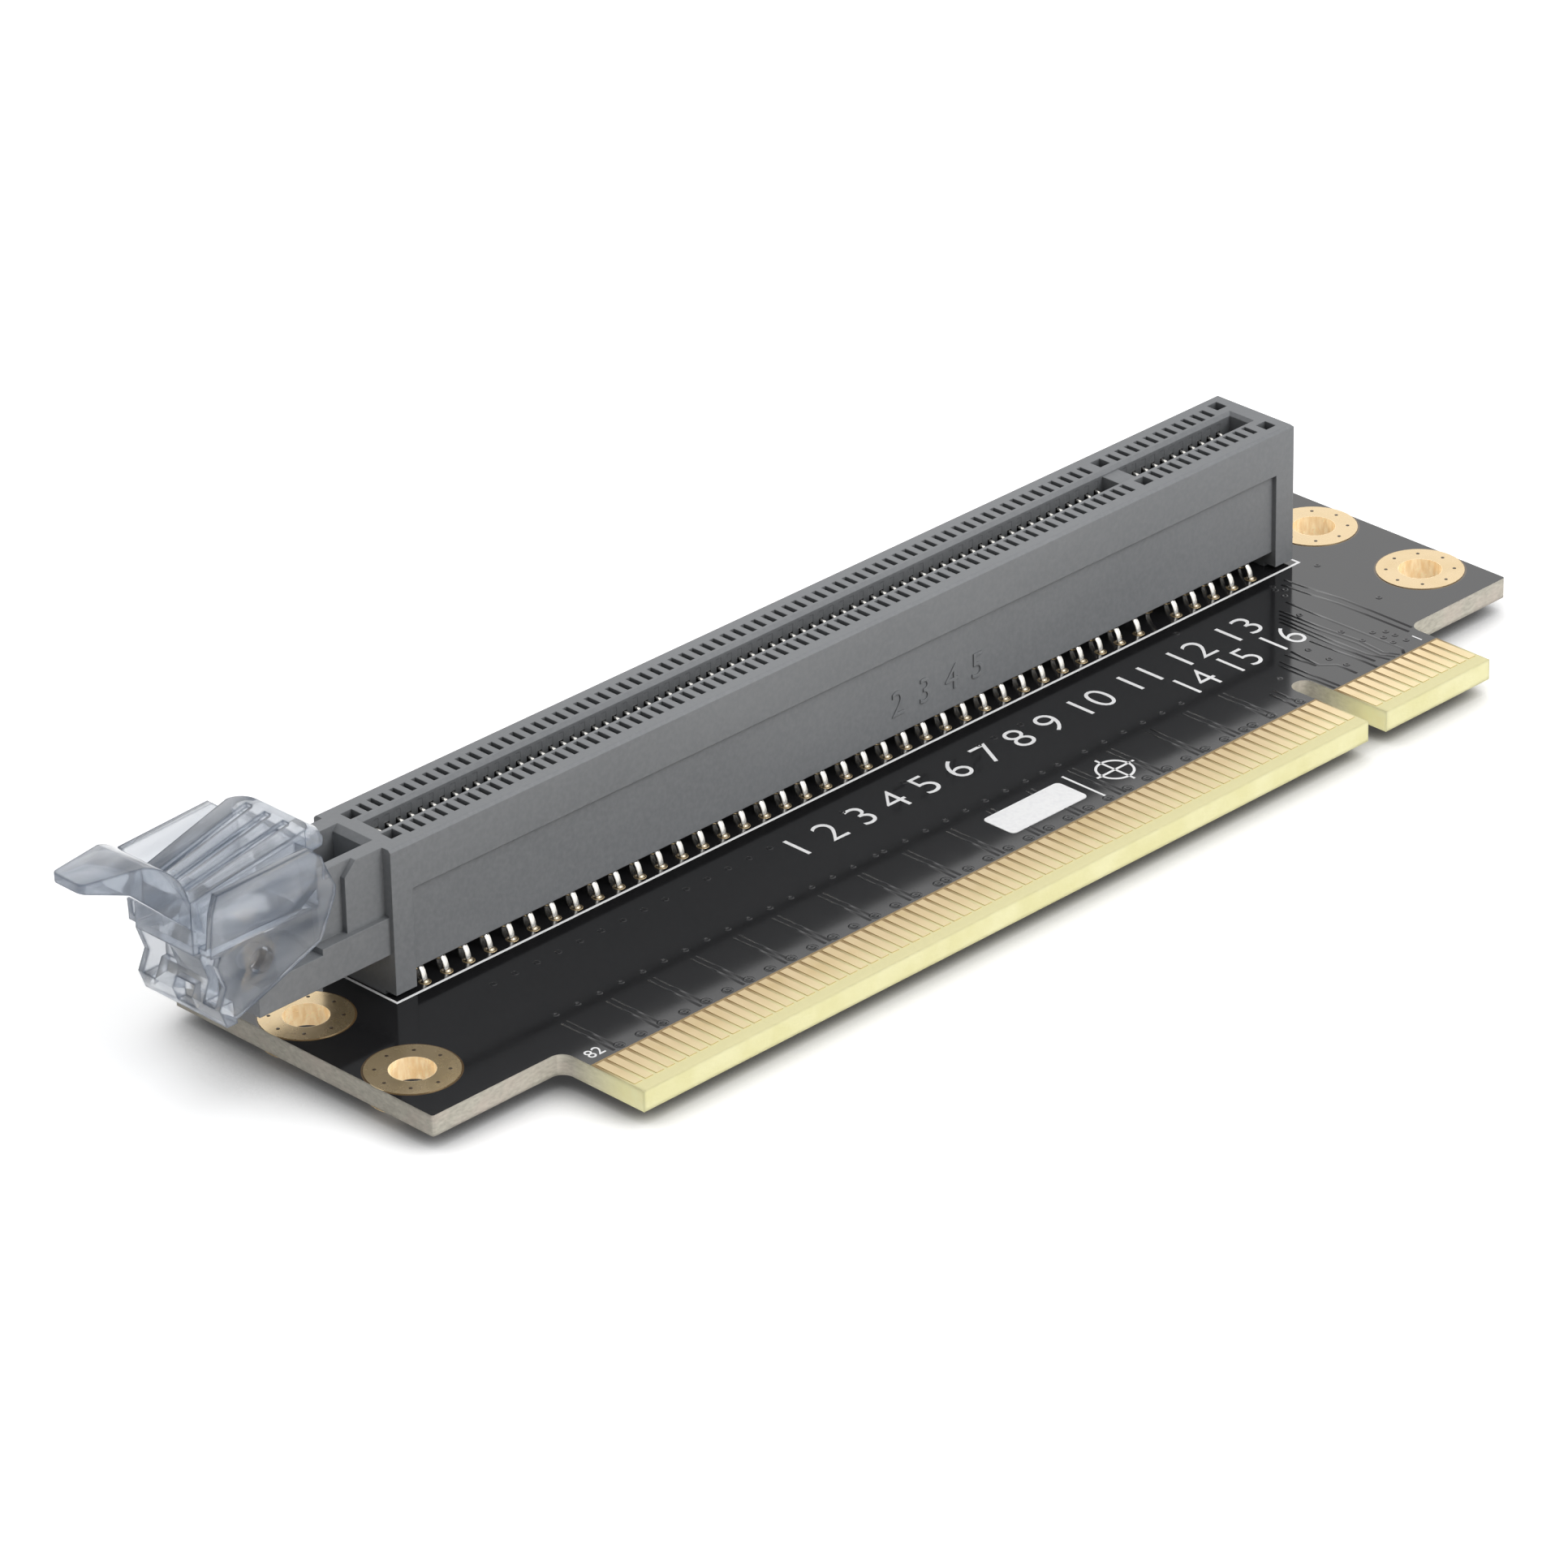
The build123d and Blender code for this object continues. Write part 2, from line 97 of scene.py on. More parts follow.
# %% [markdown]
# ## Node helpers
# A finish is a small tree of nodes. Each node could be made and wired by hand, but one helper that
# adds a node, sets its values and joins its inputs keeps every finish short enough to read.

# %% Node helpers
def add_node(tree, kind, inputs=None, **settings):
    """Adds one node; an input is given as a value or as the socket that feeds it."""
    node = tree.nodes.new(kind)
    for name, value in settings.items():
        setattr(node, name, value)
    for name, value in (inputs or {}).items():
        if isinstance(value, bpy.types.NodeSocket):
            tree.links.new(value, node.inputs[name])
        else:
            node.inputs[name].default_value = value
    return node


def math_node(tree, operation, first, second=0.0):
    """One sum, product or comparison, as a socket."""
    inputs = {0: first, 1: second}
    return add_node(tree, "ShaderNodeMath", inputs, operation=operation).outputs[0]


def blend_colours(tree, share, low, high):
    """Mixes two colours by a share from 0 to 1."""
    node = add_node(tree, "ShaderNodeMix", {0: share, 6: low, 7: high}, data_type="RGBA")
    return node.outputs[2]


def between(tree, value, start, end, low=0.0, high=1.0):
    """Turns a value's run from start to end into a run from low to high, held at both ends."""
    inputs = {"Value": value, "From Min": start, "From Max": end, "To Min": low, "To Max": high}
    return add_node(tree, "ShaderNodeMapRange", inputs).outputs["Result"]


def colour(red, green, blue):
    """A colour as nodes want it, with full cover."""
    return (red, green, blue, 1.0)


def grey(level):
    """A grey between black at 0 and white at 1."""
    return colour(level, level, level)


def mix_shaders(tree, share, first, second):
    """Mixes two shader nodes by a share from 0 to 1."""
    inputs = {0: share, 1: first.outputs[0], 2: second.outputs[0]}
    return add_node(tree, "ShaderNodeMixShader", inputs)


def spot_on_object(tree):
    """Where a point lies on its object: sockets X, Y and Z in metres."""
    place = add_node(tree, "ShaderNodeTexCoord").outputs["Object"]
    return add_node(tree, "ShaderNodeSeparateXYZ", {0: place}).outputs


def showing_ray(tree):
    """1 for a ray that shows a thing, straight, mirrored or through clear plastic, and 0 for light."""
    path = add_node(tree, "ShaderNodeLightPath").outputs
    straight = math_node(tree, "MAXIMUM", path["Is Camera Ray"], path["Is Glossy Ray"])
    return math_node(tree, "MAXIMUM", straight, path["Is Transmission Ray"])


print("helpers ready")

# %% [markdown]
# ## Studio
# The card stands on a white sweep under a soft light tent. The tent is the world: white for
# whatever the camera, a reflection or the clear latch sees, and a softer graded light for matt
# surfaces, brighter from above and from the right than from elsewhere. A large lamp in front and
# above, and a weaker one behind to the right, give the faces their different greys.

# %% Studio light
tent_low, tent_high = 0.12, 0.98
brighter_side = Vector((0.62, -0.25, 0.74)).normalized()
front_lamp_place, front_lamp_size, front_lamp_power = (0.08, -0.52, 0.43), 0.45, 1.9
back_lamp_place, back_lamp_size, back_lamp_power = (0.60, 0.60, 0.46), 0.75, 0.75

world = bpy.data.worlds.new("light_tent")
bpy.context.scene.world = world
world.use_nodes = True
tree = world.node_tree
tree.nodes.clear()
direction = add_node(tree, "ShaderNodeTexCoord").outputs["Generated"]
inputs = {0: direction, 1: brighter_side}
toward = add_node(tree, "ShaderNodeVectorMath", inputs, operation="DOT_PRODUCT").outputs["Value"]
graded = between(tree, toward, -0.4, 1.0, tent_low, tent_high)
matt_light = add_node(tree, "ShaderNodeBackground", {"Color": grey(1.0), "Strength": graded})
seen_light = add_node(tree, "ShaderNodeBackground", {"Color": grey(1.0), "Strength": 1.0})
either = mix_shaders(tree, showing_ray(tree), matt_light, seen_light)
add_node(tree, "ShaderNodeOutputWorld", {"Surface": either.outputs[0]})


def softbox(name, place, size, power):
    """A round lamp that faces the card."""
    lamp = bpy.data.lights.new(name, "AREA")
    lamp.shape = "DISK"
    lamp.size = size
    lamp.energy = power
    holder = bpy.data.objects.new(name, lamp)
    holder.location = place
    holder.rotation_euler = (-holder.location).to_track_quat("-Z", "Y").to_euler()
    stage.objects.link(holder)
    print(name, power, "W")


softbox("front_softbox", front_lamp_place, front_lamp_size, front_lamp_power)
softbox("back_softbox", back_lamp_place, back_lamp_size, back_lamp_power)

# %% [markdown]
# ## Floor
# The floor is one plain sheet with two shades. The one that the camera sees is lifted toward white,
# so that the ground of the picture stays white, and it darkens where the card hides the sky, which
# gives the soft shadow close to the card. The one that sends light back to the card is greyer far to
# the left, because the card's left end is the darker one. The kind of ray chooses between them.

# %% Floor
floor_reach = 1.6
floor_gap = 0.02 * mm
floor_white = 0.95
floor_lift = 0.42
shadow_reach, shadow_grey = 11 * mm, 0.10
sky_hidden, sky_open = 0.15, 0.9
bounce_grey, grey_end, white_start = 0.20, -110 * mm, -45 * mm

floor_finish = bpy.data.materials.new("white_sweep")
floor_finish.use_nodes = True
tree = floor_finish.node_tree
tree.nodes.clear()
white = grey(floor_white)
sky = add_node(tree, "ShaderNodeAmbientOcclusion", {"Distance": shadow_reach}, samples=12)
open_share = between(tree, sky.outputs["AO"], sky_hidden, sky_open)
shade = blend_colours(tree, open_share, grey(shadow_grey), white)
rightward = between(tree, spot_on_object(tree)["X"], grey_end, white_start)
bounce = blend_colours(tree, rightward, grey(bounce_grey), white)
paper = add_node(tree, "ShaderNodeBsdfDiffuse", {"Color": bounce})
shaded = add_node(tree, "ShaderNodeBsdfDiffuse", {"Color": shade})
lift = add_node(tree, "ShaderNodeEmission", {"Color": shade, "Strength": floor_lift})
lifted = add_node(tree, "ShaderNodeAddShader", {0: shaded.outputs[0], 1: lift.outputs[0]})
either = mix_shaders(tree, showing_ray(tree), paper, lifted)
add_node(tree, "ShaderNodeOutputMaterial", {"Surface": either.outputs[0]})

floor_level = cad_box[0].z - floor_gap
corners = [
    (-floor_reach, -floor_reach, floor_level),
    (floor_reach, -floor_reach, floor_level),
    (floor_reach, floor_reach, floor_level),
    (-floor_reach, floor_reach, floor_level),
]
floor_mesh = bpy.data.meshes.new("floor")
floor_mesh.from_pydata(corners, [], [(0, 1, 2, 3)])
floor_mesh.materials.append(floor_finish)
floor = bpy.data.objects.new("floor", floor_mesh)
stage.objects.link(floor)
floor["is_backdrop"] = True
print("floor at", round(floor_level / mm, 2), "mm")

# %% [markdown]
# ## Slot plastic
# The housing is a glass-filled moulding: mid grey, satin, with a fine grain and faint paler flow
# marks. A flat grey would look like paint. Two noises, one broad for the flow and one fine for the
# grain, drive colour, gloss and bump, and a bevel normal rounds each edge by a tenth of a
# millimetre, as a real mould does, without touching the CAD mesh. The open cells are darker inside
# than light alone makes them, so the tone falls where walls close by hide the sky.

# %% Finish helpers
def new_finish(name, **values):
    """A finish with its shader; values go straight to the shader's own sockets."""
    finish = bpy.data.materials.new(name)
    finish.use_nodes = True
    shader = finish.node_tree.nodes["Principled BSDF"]
    for socket, value in values.items():
        shader.inputs[socket.replace("_", " ")].default_value = value
    return finish, finish.node_tree, shader


def grain(tree, size, detail=2.0, stretch=(1, 1, 1)):
    """A noise whose specks are about one size across, in metres on the object, as a socket."""
    place = add_node(tree, "ShaderNodeTexCoord").outputs["Object"]
    stretched = add_node(tree, "ShaderNodeMapping", {"Vector": place, "Scale": stretch})
    inputs = {"Vector": stretched.outputs[0], "Scale": 1 / size, "Detail": detail}
    return add_node(tree, "ShaderNodeTexNoise", inputs).outputs["Fac"]


def rounded_normal(tree, radius):
    """The surface direction with its sharp edges rounded by a radius."""
    return add_node(tree, "ShaderNodeBevel", {"Radius": radius}, samples=6).outputs[0]


def bumped(tree, height, depth, normal=None):
    """A normal disturbed by a height map of a given depth."""
    inputs = {"Height": height, "Distance": depth, "Strength": 1.0}
    if normal is not None:
        inputs["Normal"] = normal
    return add_node(tree, "ShaderNodeBump", inputs).outputs[0]


print("finish helpers ready")

# %% Slot plastic
cell_reach = 5 * mm
cell_shade_full, cell_shade_none = 0.12, 0.42
moulded_edge = 0.1 * mm


def slot_plastic():
    """Grey satin moulding with flow marks, a fine grain and painted shade inside its cells."""
    finish, tree, shader = new_finish("slot_plastic", IOR=1.5)
    flow = grain(tree, 14 * mm, 3.0, (0.35, 1, 1))
    fine = grain(tree, 0.35 * mm, 2.0)
    dark = colour(0.178, 0.186, 0.196)
    pale = colour(0.226, 0.233, 0.243)
    tone = blend_colours(tree, between(tree, flow, 0.3, 0.7), dark, pale)
    specks = between(tree, fine, 0.35, 0.75, 0.0, 0.22)
    speckled = blend_colours(tree, specks, tone, colour(0.33, 0.335, 0.34))
    # Painted shade: the colour darkens inside the cells, where walls close by hide the sky.
    sky = add_node(tree, "ShaderNodeAmbientOcclusion", {"Distance": cell_reach}, samples=4)
    open_share = between(tree, sky.outputs["AO"], cell_shade_full, cell_shade_none)
    cell_shaded = blend_colours(tree, open_share, colour(0.06, 0.064, 0.068), speckled)
    tree.links.new(cell_shaded, shader.inputs["Base Color"])
    tree.links.new(between(tree, fine, 0.3, 0.7, 0.46, 0.60), shader.inputs["Roughness"])
    soft_edge = rounded_normal(tree, moulded_edge)
    tree.links.new(bumped(tree, fine, 0.012 * mm, soft_edge), shader.inputs["Normal"])
    return finish


def dress(node_name, finish):
    """Gives a CAD node its finish."""
    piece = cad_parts[node_name]
    if not piece.material_slots:
        piece.data.materials.append(finish)
    for slot in piece.material_slots:
        slot.material = finish
    print(node_name, "wears", finish.name)


slot_grey = slot_plastic()
dress("slot_housing", slot_grey)

# %% [markdown]
# ## Circuit board
# One solid shows four finishes: glossy black solder mask on both faces, bare laminate between the
# edge fingers, cut glass-fibre edges, and a paler yellow nose where the edge connector was milled.
# Splitting the board into pieces would open seams, so one finish reads the place and direction of
# each point and chooses. The mask is nearly black, and what shows on it is mostly its reflection.
# The edges that face left glow faintly near the nose; that glow is painted light, which brightens them.

# %% Places on the board
board_low, board_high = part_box("circuit_board")
board_top = board_high.z
land_x, land_y, land_radius = 50.05 * mm, 5.2 * mm, 3.25 * mm
land_rim = 0.14 * mm


def near_land(tree, spot, radius):
    """1 within a radius of the four lands' centres, which mirror each other, and 0 elsewhere."""
    across = math_node(tree, "SUBTRACT", math_node(tree, "ABSOLUTE", spot["X"]), land_x)
    along = math_node(tree, "SUBTRACT", math_node(tree, "ABSOLUTE", spot["Y"]), land_y)
    across_squared = math_node(tree, "MULTIPLY", across, across)
    along_squared = math_node(tree, "MULTIPLY", along, along)
    squares = math_node(tree, "ADD", across_squared, along_squared)
    return math_node(tree, "LESS_THAN", math_node(tree, "SQRT", squares), radius)


print("board top at", round(board_top / mm, 3), "mm")

# %% Circuit board
mask_end = -13.3 * mm
side_yellow_start, side_yellow_end = -11.5 * mm, -16.5 * mm
resin_yellow_start, resin_yellow_end = -13.9 * mm, -16.8 * mm
painted_glow_start, painted_glow_end = -9.0 * mm, -15.0 * mm
painted_glow_low, painted_glow_high = 0.05, 0.26
eased_nose = 0.5 * mm


def board_finish():
    """Solder mask, bare laminate, cut edge and milled nose, chosen by place and direction; left edges
    near the nose glow with painted light.
    """
    finish, tree, shader = new_finish("board", IOR=1.5)
    spot = spot_on_object(tree)
    normal = add_node(tree, "ShaderNodeNewGeometry").outputs["True Normal"]
    facing = add_node(tree, "ShaderNodeSeparateXYZ", {0: normal}).outputs
    flat = math_node(tree, "GREATER_THAN", math_node(tree, "ABSOLUTE", facing["Z"]), 0.5)
    behind_fingers = math_node(tree, "GREATER_THAN", spot["Y"], mask_end)
    masked = math_node(tree, "MULTIPLY", flat, behind_fingers)

    weave = grain(tree, 0.35 * mm, 3.0, (0.7, 0.7, 1.6))
    cloud = grain(tree, 2.4 * mm, 3.0)
    woven = between(tree, weave, 0.3, 0.7)
    cut = blend_colours(tree, woven, colour(0.40, 0.375, 0.315), colour(0.57, 0.54, 0.46))
    rosy = between(tree, cloud, 0.5, 0.75, 0.0, 0.5)
    cut = blend_colours(tree, rosy, cut, colour(0.60, 0.50, 0.44))
    cloudy = between(tree, cloud, 0.35, 0.65)
    nose = blend_colours(tree, cloudy, colour(0.79, 0.745, 0.40), colour(0.85, 0.81, 0.48))
    yellowing = between(tree, spot["Y"], side_yellow_start, side_yellow_end)
    side = blend_colours(tree, yellowing, cut, nose)
    paler = between(tree, spot["Y"], resin_yellow_start, resin_yellow_end)
    resin = blend_colours(tree, paler, colour(0.36, 0.25, 0.12), colour(0.82, 0.76, 0.42))
    bare = blend_colours(tree, flat, side, resin)
    by_land = near_land(tree, spot, land_radius + land_rim)
    black = colour(0.0125, 0.0125, 0.0135)
    mask = blend_colours(tree, by_land, black, colour(0.10, 0.062, 0.028))
    tree.links.new(blend_colours(tree, masked, bare, mask), shader.inputs["Base Color"])

    # Painted light: faces that turn left glow faintly, more toward the nose.
    leftward = math_node(tree, "LESS_THAN", facing["X"], -0.4)
    painted_glow = between(tree, spot["Y"], painted_glow_start, painted_glow_end, painted_glow_low, painted_glow_high)
    tree.links.new(side, shader.inputs["Emission Color"])
    tree.links.new(math_node(tree, "MULTIPLY", leftward, painted_glow), shader.inputs["Emission Strength"])
    rough = between(tree, weave, 0.3, 0.7, 0.62, 0.78)
    gloss = between(tree, cloud, 0.3, 0.7, 0.085, 0.115)
    shine = add_node(tree, "ShaderNodeMix", {0: masked, 2: rough, 3: gloss})
    tree.links.new(shine.outputs[0], shader.inputs["Roughness"])
    swell = bumped(tree, grain(tree, 2.2 * mm, 1.0), 0.0015 * mm)
    fibres = bumped(tree, weave, 0.03 * mm, rounded_normal(tree, eased_nose))
    chosen = add_node(tree, "ShaderNodeMix", {0: masked, 4: fibres, 5: swell}, data_type="VECTOR")
    tree.links.new(chosen.outputs[1], shader.inputs["Normal"])
    return finish


dress("circuit_board", board_finish())

# %% [markdown]
# ## Gold plating
# The fingers and the ringed holes are copper under thin gold: warm, bright and a little brushed.
# Pure metal shading takes its brightness from what it reflects, so the studio's white does most of
# the work. A stretched noise gives the fingers the lengthwise brushing of card after card, and
# their ends are paler. The lands' bores are drilled rough before they are plated, so their walls
# are matt, and a faint painted glow brightens them.

# %% Gold plating
paler_from, paler_to = -15.2 * mm, -17.0 * mm
bore_radius = 1.6 * mm


def gold_plating(name, tint, roughness, brushed):
    """Thin gold over copper with faint warm stains; brushed gold has brush lines along Y and paler
    ends.
    """
    finish, tree, shader = new_finish(name, Metallic=1.0 if brushed else 0.82)
    brush = grain(tree, (0.25 if brushed else 0.9) * mm, 2.0, (1, 0.12 if brushed else 1, 1))
    stain = grain(tree, 2.6 * mm, 2.0)
    warm = colour(tint[0] * 0.92, tint[1] * 0.90, tint[2] * 0.82)
    gold = blend_colours(tree, between(tree, stain, 0.45, 0.75), colour(*tint), warm)
    if brushed:
        toward_nose = between(tree, spot_on_object(tree)["Y"], paler_from, paler_to, 0.0, 0.8)
        gold = blend_colours(tree, toward_nose, gold, colour(0.70, 0.60, 0.36))
    tree.links.new(gold, shader.inputs["Base Color"])
    dull = between(tree, brush, 0.3, 0.7, roughness - 0.02, roughness + 0.04)
    tree.links.new(dull, shader.inputs["Roughness"])
    tree.links.new(bumped(tree, brush, 0.0006 * mm), shader.inputs["Normal"])
    return finish, tree, shader


def land_plating():
    """Land gold whose bores are paler and matt, because the drill leaves their walls rough, and glow
    with painted light.
    """
    finish, tree, shader = gold_plating("land_gold", (0.63, 0.485, 0.285), 0.25, False)
    in_bore = near_land(tree, spot_on_object(tree), bore_radius + 0.02 * mm)
    drilled = between(tree, grain(tree, 0.3 * mm, 2.0, (1, 1, 0.3)), 0.35, 0.65)
    wall = blend_colours(tree, drilled, colour(0.84, 0.62, 0.35), colour(0.97, 0.81, 0.54))
    plated = shader.inputs["Base Color"].links[0].from_socket
    tree.links.new(blend_colours(tree, in_bore, plated, wall), shader.inputs["Base Color"])
    tree.links.new(between(tree, in_bore, 0.0, 1.0, 0.82, 0.25), shader.inputs["Metallic"])
    # Painted light: the bore walls glow faintly with their own colour.
    tree.links.new(wall, shader.inputs["Emission Color"])
    tree.links.new(between(tree, in_bore, 0.0, 1.0, 0.0, 0.3), shader.inputs["Emission Strength"])
    return finish


finger_gold = gold_plating("finger_gold", (0.68, 0.54, 0.325), 0.34, True)[0]
land_gold = land_plating()
for node_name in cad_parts:
    if node_name.endswith("edge_fingers"):
        dress(node_name, finger_gold)
dress("mounting_lands", land_gold)

# %% [markdown]
# ## Mesh helpers
# The fine pieces repeat: 164 contacts, as many solder joints, and over a hundred vias. Each shape is
# worked out once as plain points and faces, then copied to its places in one mesh, which is far
# lighter than hundreds of objects.

# %% Mesh helpers
def new_piece(name, finish, material_slot, points, faces, body="card", smooth=True):
    """Makes one object from points in metres and lets it ride on a body."""
    mesh = bpy.data.meshes.new(name)
    mesh.from_pydata([tuple(p) for p in points], [], faces)
    mesh.materials.append(finish)
    mesh.update()
    if smooth:
        mesh.shade_smooth()
    piece = bpy.data.objects.new(name, mesh)
    stage.objects.link(piece)
    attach(piece, body)
    print(name, len(faces), "faces")
    return piece


def at_places(shape, places):
    """Copies one shape's points and faces to many places."""
    shape_points, shape_faces = shape
    points, faces = [], []
    for place in places:
        start = len(points)
        points += [Vector(place) + Vector(p) for p in shape_points]
        faces += [tuple(start + i for i in face) for face in shape_faces]
    return points, faces


def together(shapes):
    """Joins several shapes into one list of points and one of faces."""
    points, faces = [], []
    for shape_points, shape_faces in shapes:
        start = len(points)
        points += list(shape_points)
        faces += [tuple(start + i for i in face) for face in shape_faces]
    return points, faces


def turned(profile, sides=16):
    """A shape turned on a lathe about Z; the profile is (radius, height) from rim to middle."""
    points, faces = [], []
    for radius, height in profile:
        for i in range(sides):
            angle = 2 * math.pi * i / sides
            points.append((radius * math.cos(angle), radius * math.sin(angle), height))
    for ring in range(len(profile) - 1):
        for i in range(sides):
            j = (i + 1) % sides
            low, high = ring * sides, (ring + 1) * sides
            faces.append((low + i, low + j, high + j, high + i))
    return points, faces


print("mesh helpers ready")

# %% [markdown]
# ## Contacts
# Each contact is a stamped strip: from its bump it runs down the cell, leaves the housing, and bends
# over to its plated hole. The CAD stands in with straight strips. Here one strip is swept along a
# bent path, with rounded sides so that it catches a long highlight, and copied along each group's
# row. The groups' boxes give the rows' places.

# %% Contact metal
shade_low, shade_low_end = 3.6 * mm, 4.4 * mm
shade_high, shade_high_end = 11.2 * mm, 11.4 * mm


def contact_metal():
    """Bright at the tail and the bump, and dark between, where the cell keeps the light away."""
    finish, tree, shader = new_finish("contact_metal", Metallic=1.0)
    height = spot_on_object(tree)["Z"]
    tail = between(tree, height, shade_low_end, shade_low)
    bump = between(tree, height, shade_high, shade_high_end)
    ends = math_node(tree, "MAXIMUM", tail, bump)
    tint = blend_colours(tree, ends, colour(0.16, 0.135, 0.10), colour(0.92, 0.90, 0.85))
    tree.links.new(tint, shader.inputs["Base Color"])
    brush = grain(tree, 0.12 * mm, 2.0, (1, 0.3, 0.3))
    tree.links.new(between(tree, brush, 0.3, 0.7, 0.14, 0.24), shader.inputs["Roughness"])
    tree.links.new(bumped(tree, brush, 0.003 * mm), shader.inputs["Normal"])
    return finish


contact_finish = contact_metal()
print("contact metal ready")

# %% Strip shape
contact_half_width = 0.18 * mm
tail_half_width = 0.23 * mm
strip_half_thickness = 0.11 * mm
cell_across = 2.3 * mm


def strip_path(tail_across):
    """A contact's middle line as (across, height, half width) in metres, from tail to tip."""
    outward = 1 if tail_across > cell_across else -1
    reach = abs(tail_across - cell_across)
    bend = [(1.0, -0.95), (1.0, 0.4), (1.0, 1.45), (0.98, 1.72), (0.91, 2.02), (0.79, 2.30)]
    bend += [(0.61, 2.53), (0.40, 2.72), (0.21, 2.93), (0.07, 3.22), (0.0, 3.75)]
    path = [(cell_across + outward * reach * share, z * mm, tail_half_width) for share, z in bend]
    spring = [(2.05, 4.9), (1.55, 7.1), (1.02, 9.1), (0.66, 10.5), (0.53, 11.0), (0.505, 11.25)]
    path += [(y * mm, z * mm, contact_half_width) for y, z in spring]
    tip = [(0.53, 11.42, 0.15), (0.62, 11.53, 0.14), (0.8, 11.58, 0.13)]
    tip += [(1.1, 11.56, 0.12), (1.5, 11.5, 0.11)]
    path += [(y * mm, z * mm, half * mm) for y, z, half in tip]
    return path


def strip(path, side):
    """Sweeps a flat strip with rounded sides along a path in the plane across the slot."""
    points, faces = [], []
    thick = strip_half_thickness
    for i, (across, height, half) in enumerate(path):
        before, after = path[max(i - 1, 0)], path[min(i + 1, len(path) - 1)]
        run = Vector((after[0] - before[0], after[1] - before[1])).normalized()
        out = Vector((-run.y, run.x))
        outline = [(-half, -0.35), (-half, 0.35), (-half * 0.72, 1), (half * 0.72, 1)]
        outline += [(half, 0.35), (half, -0.35), (half * 0.72, -1), (-half * 0.72, -1)]
        for x, depth in outline:
            spot = Vector((across, height)) + out * depth * thick
            points.append((x, side * spot.x, spot.y))
    count = len(outline)
    for ring in range(len(path) - 1):
        for i in range(count):
            j = (i + 1) % count
            low, high = ring * count, (ring + 1) * count
            faces.append((low + i, low + j, high + j, high + i))
    faces.append(tuple(range(count)))
    faces.append(tuple(reversed(range(len(points) - count, len(points)))))
    return points, faces


print("a strip has", len(strip_path(0.0)), "rings")

# %% Contacts
slot_y = 6.1 * mm
contact_pitch = 2.0 * mm
outer_tail, inner_tail = 3.25 * mm, 1.25 * mm


def row_places(node_name):
    """X of each contact in a CAD group, read from the group's box."""
    low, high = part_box(node_name)
    first, last = low.x + contact_half_width, high.x - contact_half_width
    count = round((last - first) / contact_pitch) + 1
    return [first + i * contact_pitch for i in range(count)]


tails = []
for node_name in sorted(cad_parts):
    if not node_name.endswith("contacts"):
        continue
    side = -1 if node_name.startswith("front") else 1
    tail_across = outer_tail if "outer" in node_name else inner_tail
    xs = row_places(node_name)
    one = strip(strip_path(tail_across), side)
    shape = at_places(one, [(x, slot_y, 0) for x in xs])
    bent = new_piece("bent_" + node_name, contact_finish, "contact_metal", *shape)
    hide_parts(node_name)
    tails += [(x, slot_y + side * tail_across) for x in xs]
print(len(tails), "contact tails")

# %% [markdown]
# ## Cell webs
# Seen from above, each cell is closed toward the slot by a thin web of the housing's plastic, just
# over the contact's tip. It could be cut into the CAD housing, but 164 tiny ledges would make that
# solid heavy. One small block with an eased lower edge, copied to every cell, shows the same.

# %% Cell webs
web_outline = [(0.965, 12.36), (0.965, 11.72), (1.05, 11.66), (1.5, 11.66), (1.5, 12.36)]
web_half_width = 0.23


def web(side):
    """A block as wide as a cell; its outline is (across, height) in millimetres."""
    ends = (-web_half_width, web_half_width)
    points = [(x * mm, side * y * mm, z * mm) for x in ends for y, z in web_outline]
    count = len(web_outline)
    faces = [tuple(range(count)), tuple(reversed(range(count, 2 * count)))]
    faces += [(i, (i + 1) % count, count + (i + 1) % count, count + i) for i in range(count)]
    return points, faces


shapes = []
for side in (-1, 1):
    xs = [x for x, y in tails if (y - slot_y) * side > 0]
    shapes.append(at_places(web(side), [(x, slot_y, 0) for x in xs]))
new_piece("cell_webs", slot_grey, "slot_plastic", *together(shapes), smooth=False)

# %% [markdown]
# ## Solder joints
# Every tail stands in a plated hole: a gold ring on both faces, with a small collar of solder that
# climbs the tail and mirrors the gold round it. A collar is a concave curve turned about the tail,
# steeper near the metal. On the underside the tails poke through small cones. Turning a short
# profile gives both.

# %% Solder joints
top_ring, low_ring, ring_height = 0.45, 0.5, 0.03
collar_profile = [(0.34, 0.02), (0.315, 0.04), (0.28, 0.055)]
collar_profile += [(0.25, 0.09), (0.235, 0.15), (0.10, 0.17)]
cone_profile = [(0.44, 0.02), (0.40, 0.12), (0.34, 0.30), (0.27, 0.55), (0.20, 0.78), (0.06, 0.86)]


def solder_metal():
    """Warm grey tin with a slight skin; the warmth is partly painted reflection of the gold round it.
    """
    finish, tree, shader = new_finish("solder", Metallic=1.0)
    skin = grain(tree, 0.2 * mm, 2.0)
    patches = between(tree, skin, 0.4, 0.7)
    # The warm tint is partly the tin's skin and partly painted reflection of the gold pads.
    tint = blend_colours(tree, patches, colour(0.66, 0.57, 0.43), colour(0.46, 0.38, 0.27))
    tree.links.new(tint, shader.inputs["Base Color"])
    tree.links.new(between(tree, skin, 0.3, 0.7, 0.16, 0.30), shader.inputs["Roughness"])
    tree.links.new(bumped(tree, skin, 0.006 * mm), shader.inputs["Normal"])
    return finish


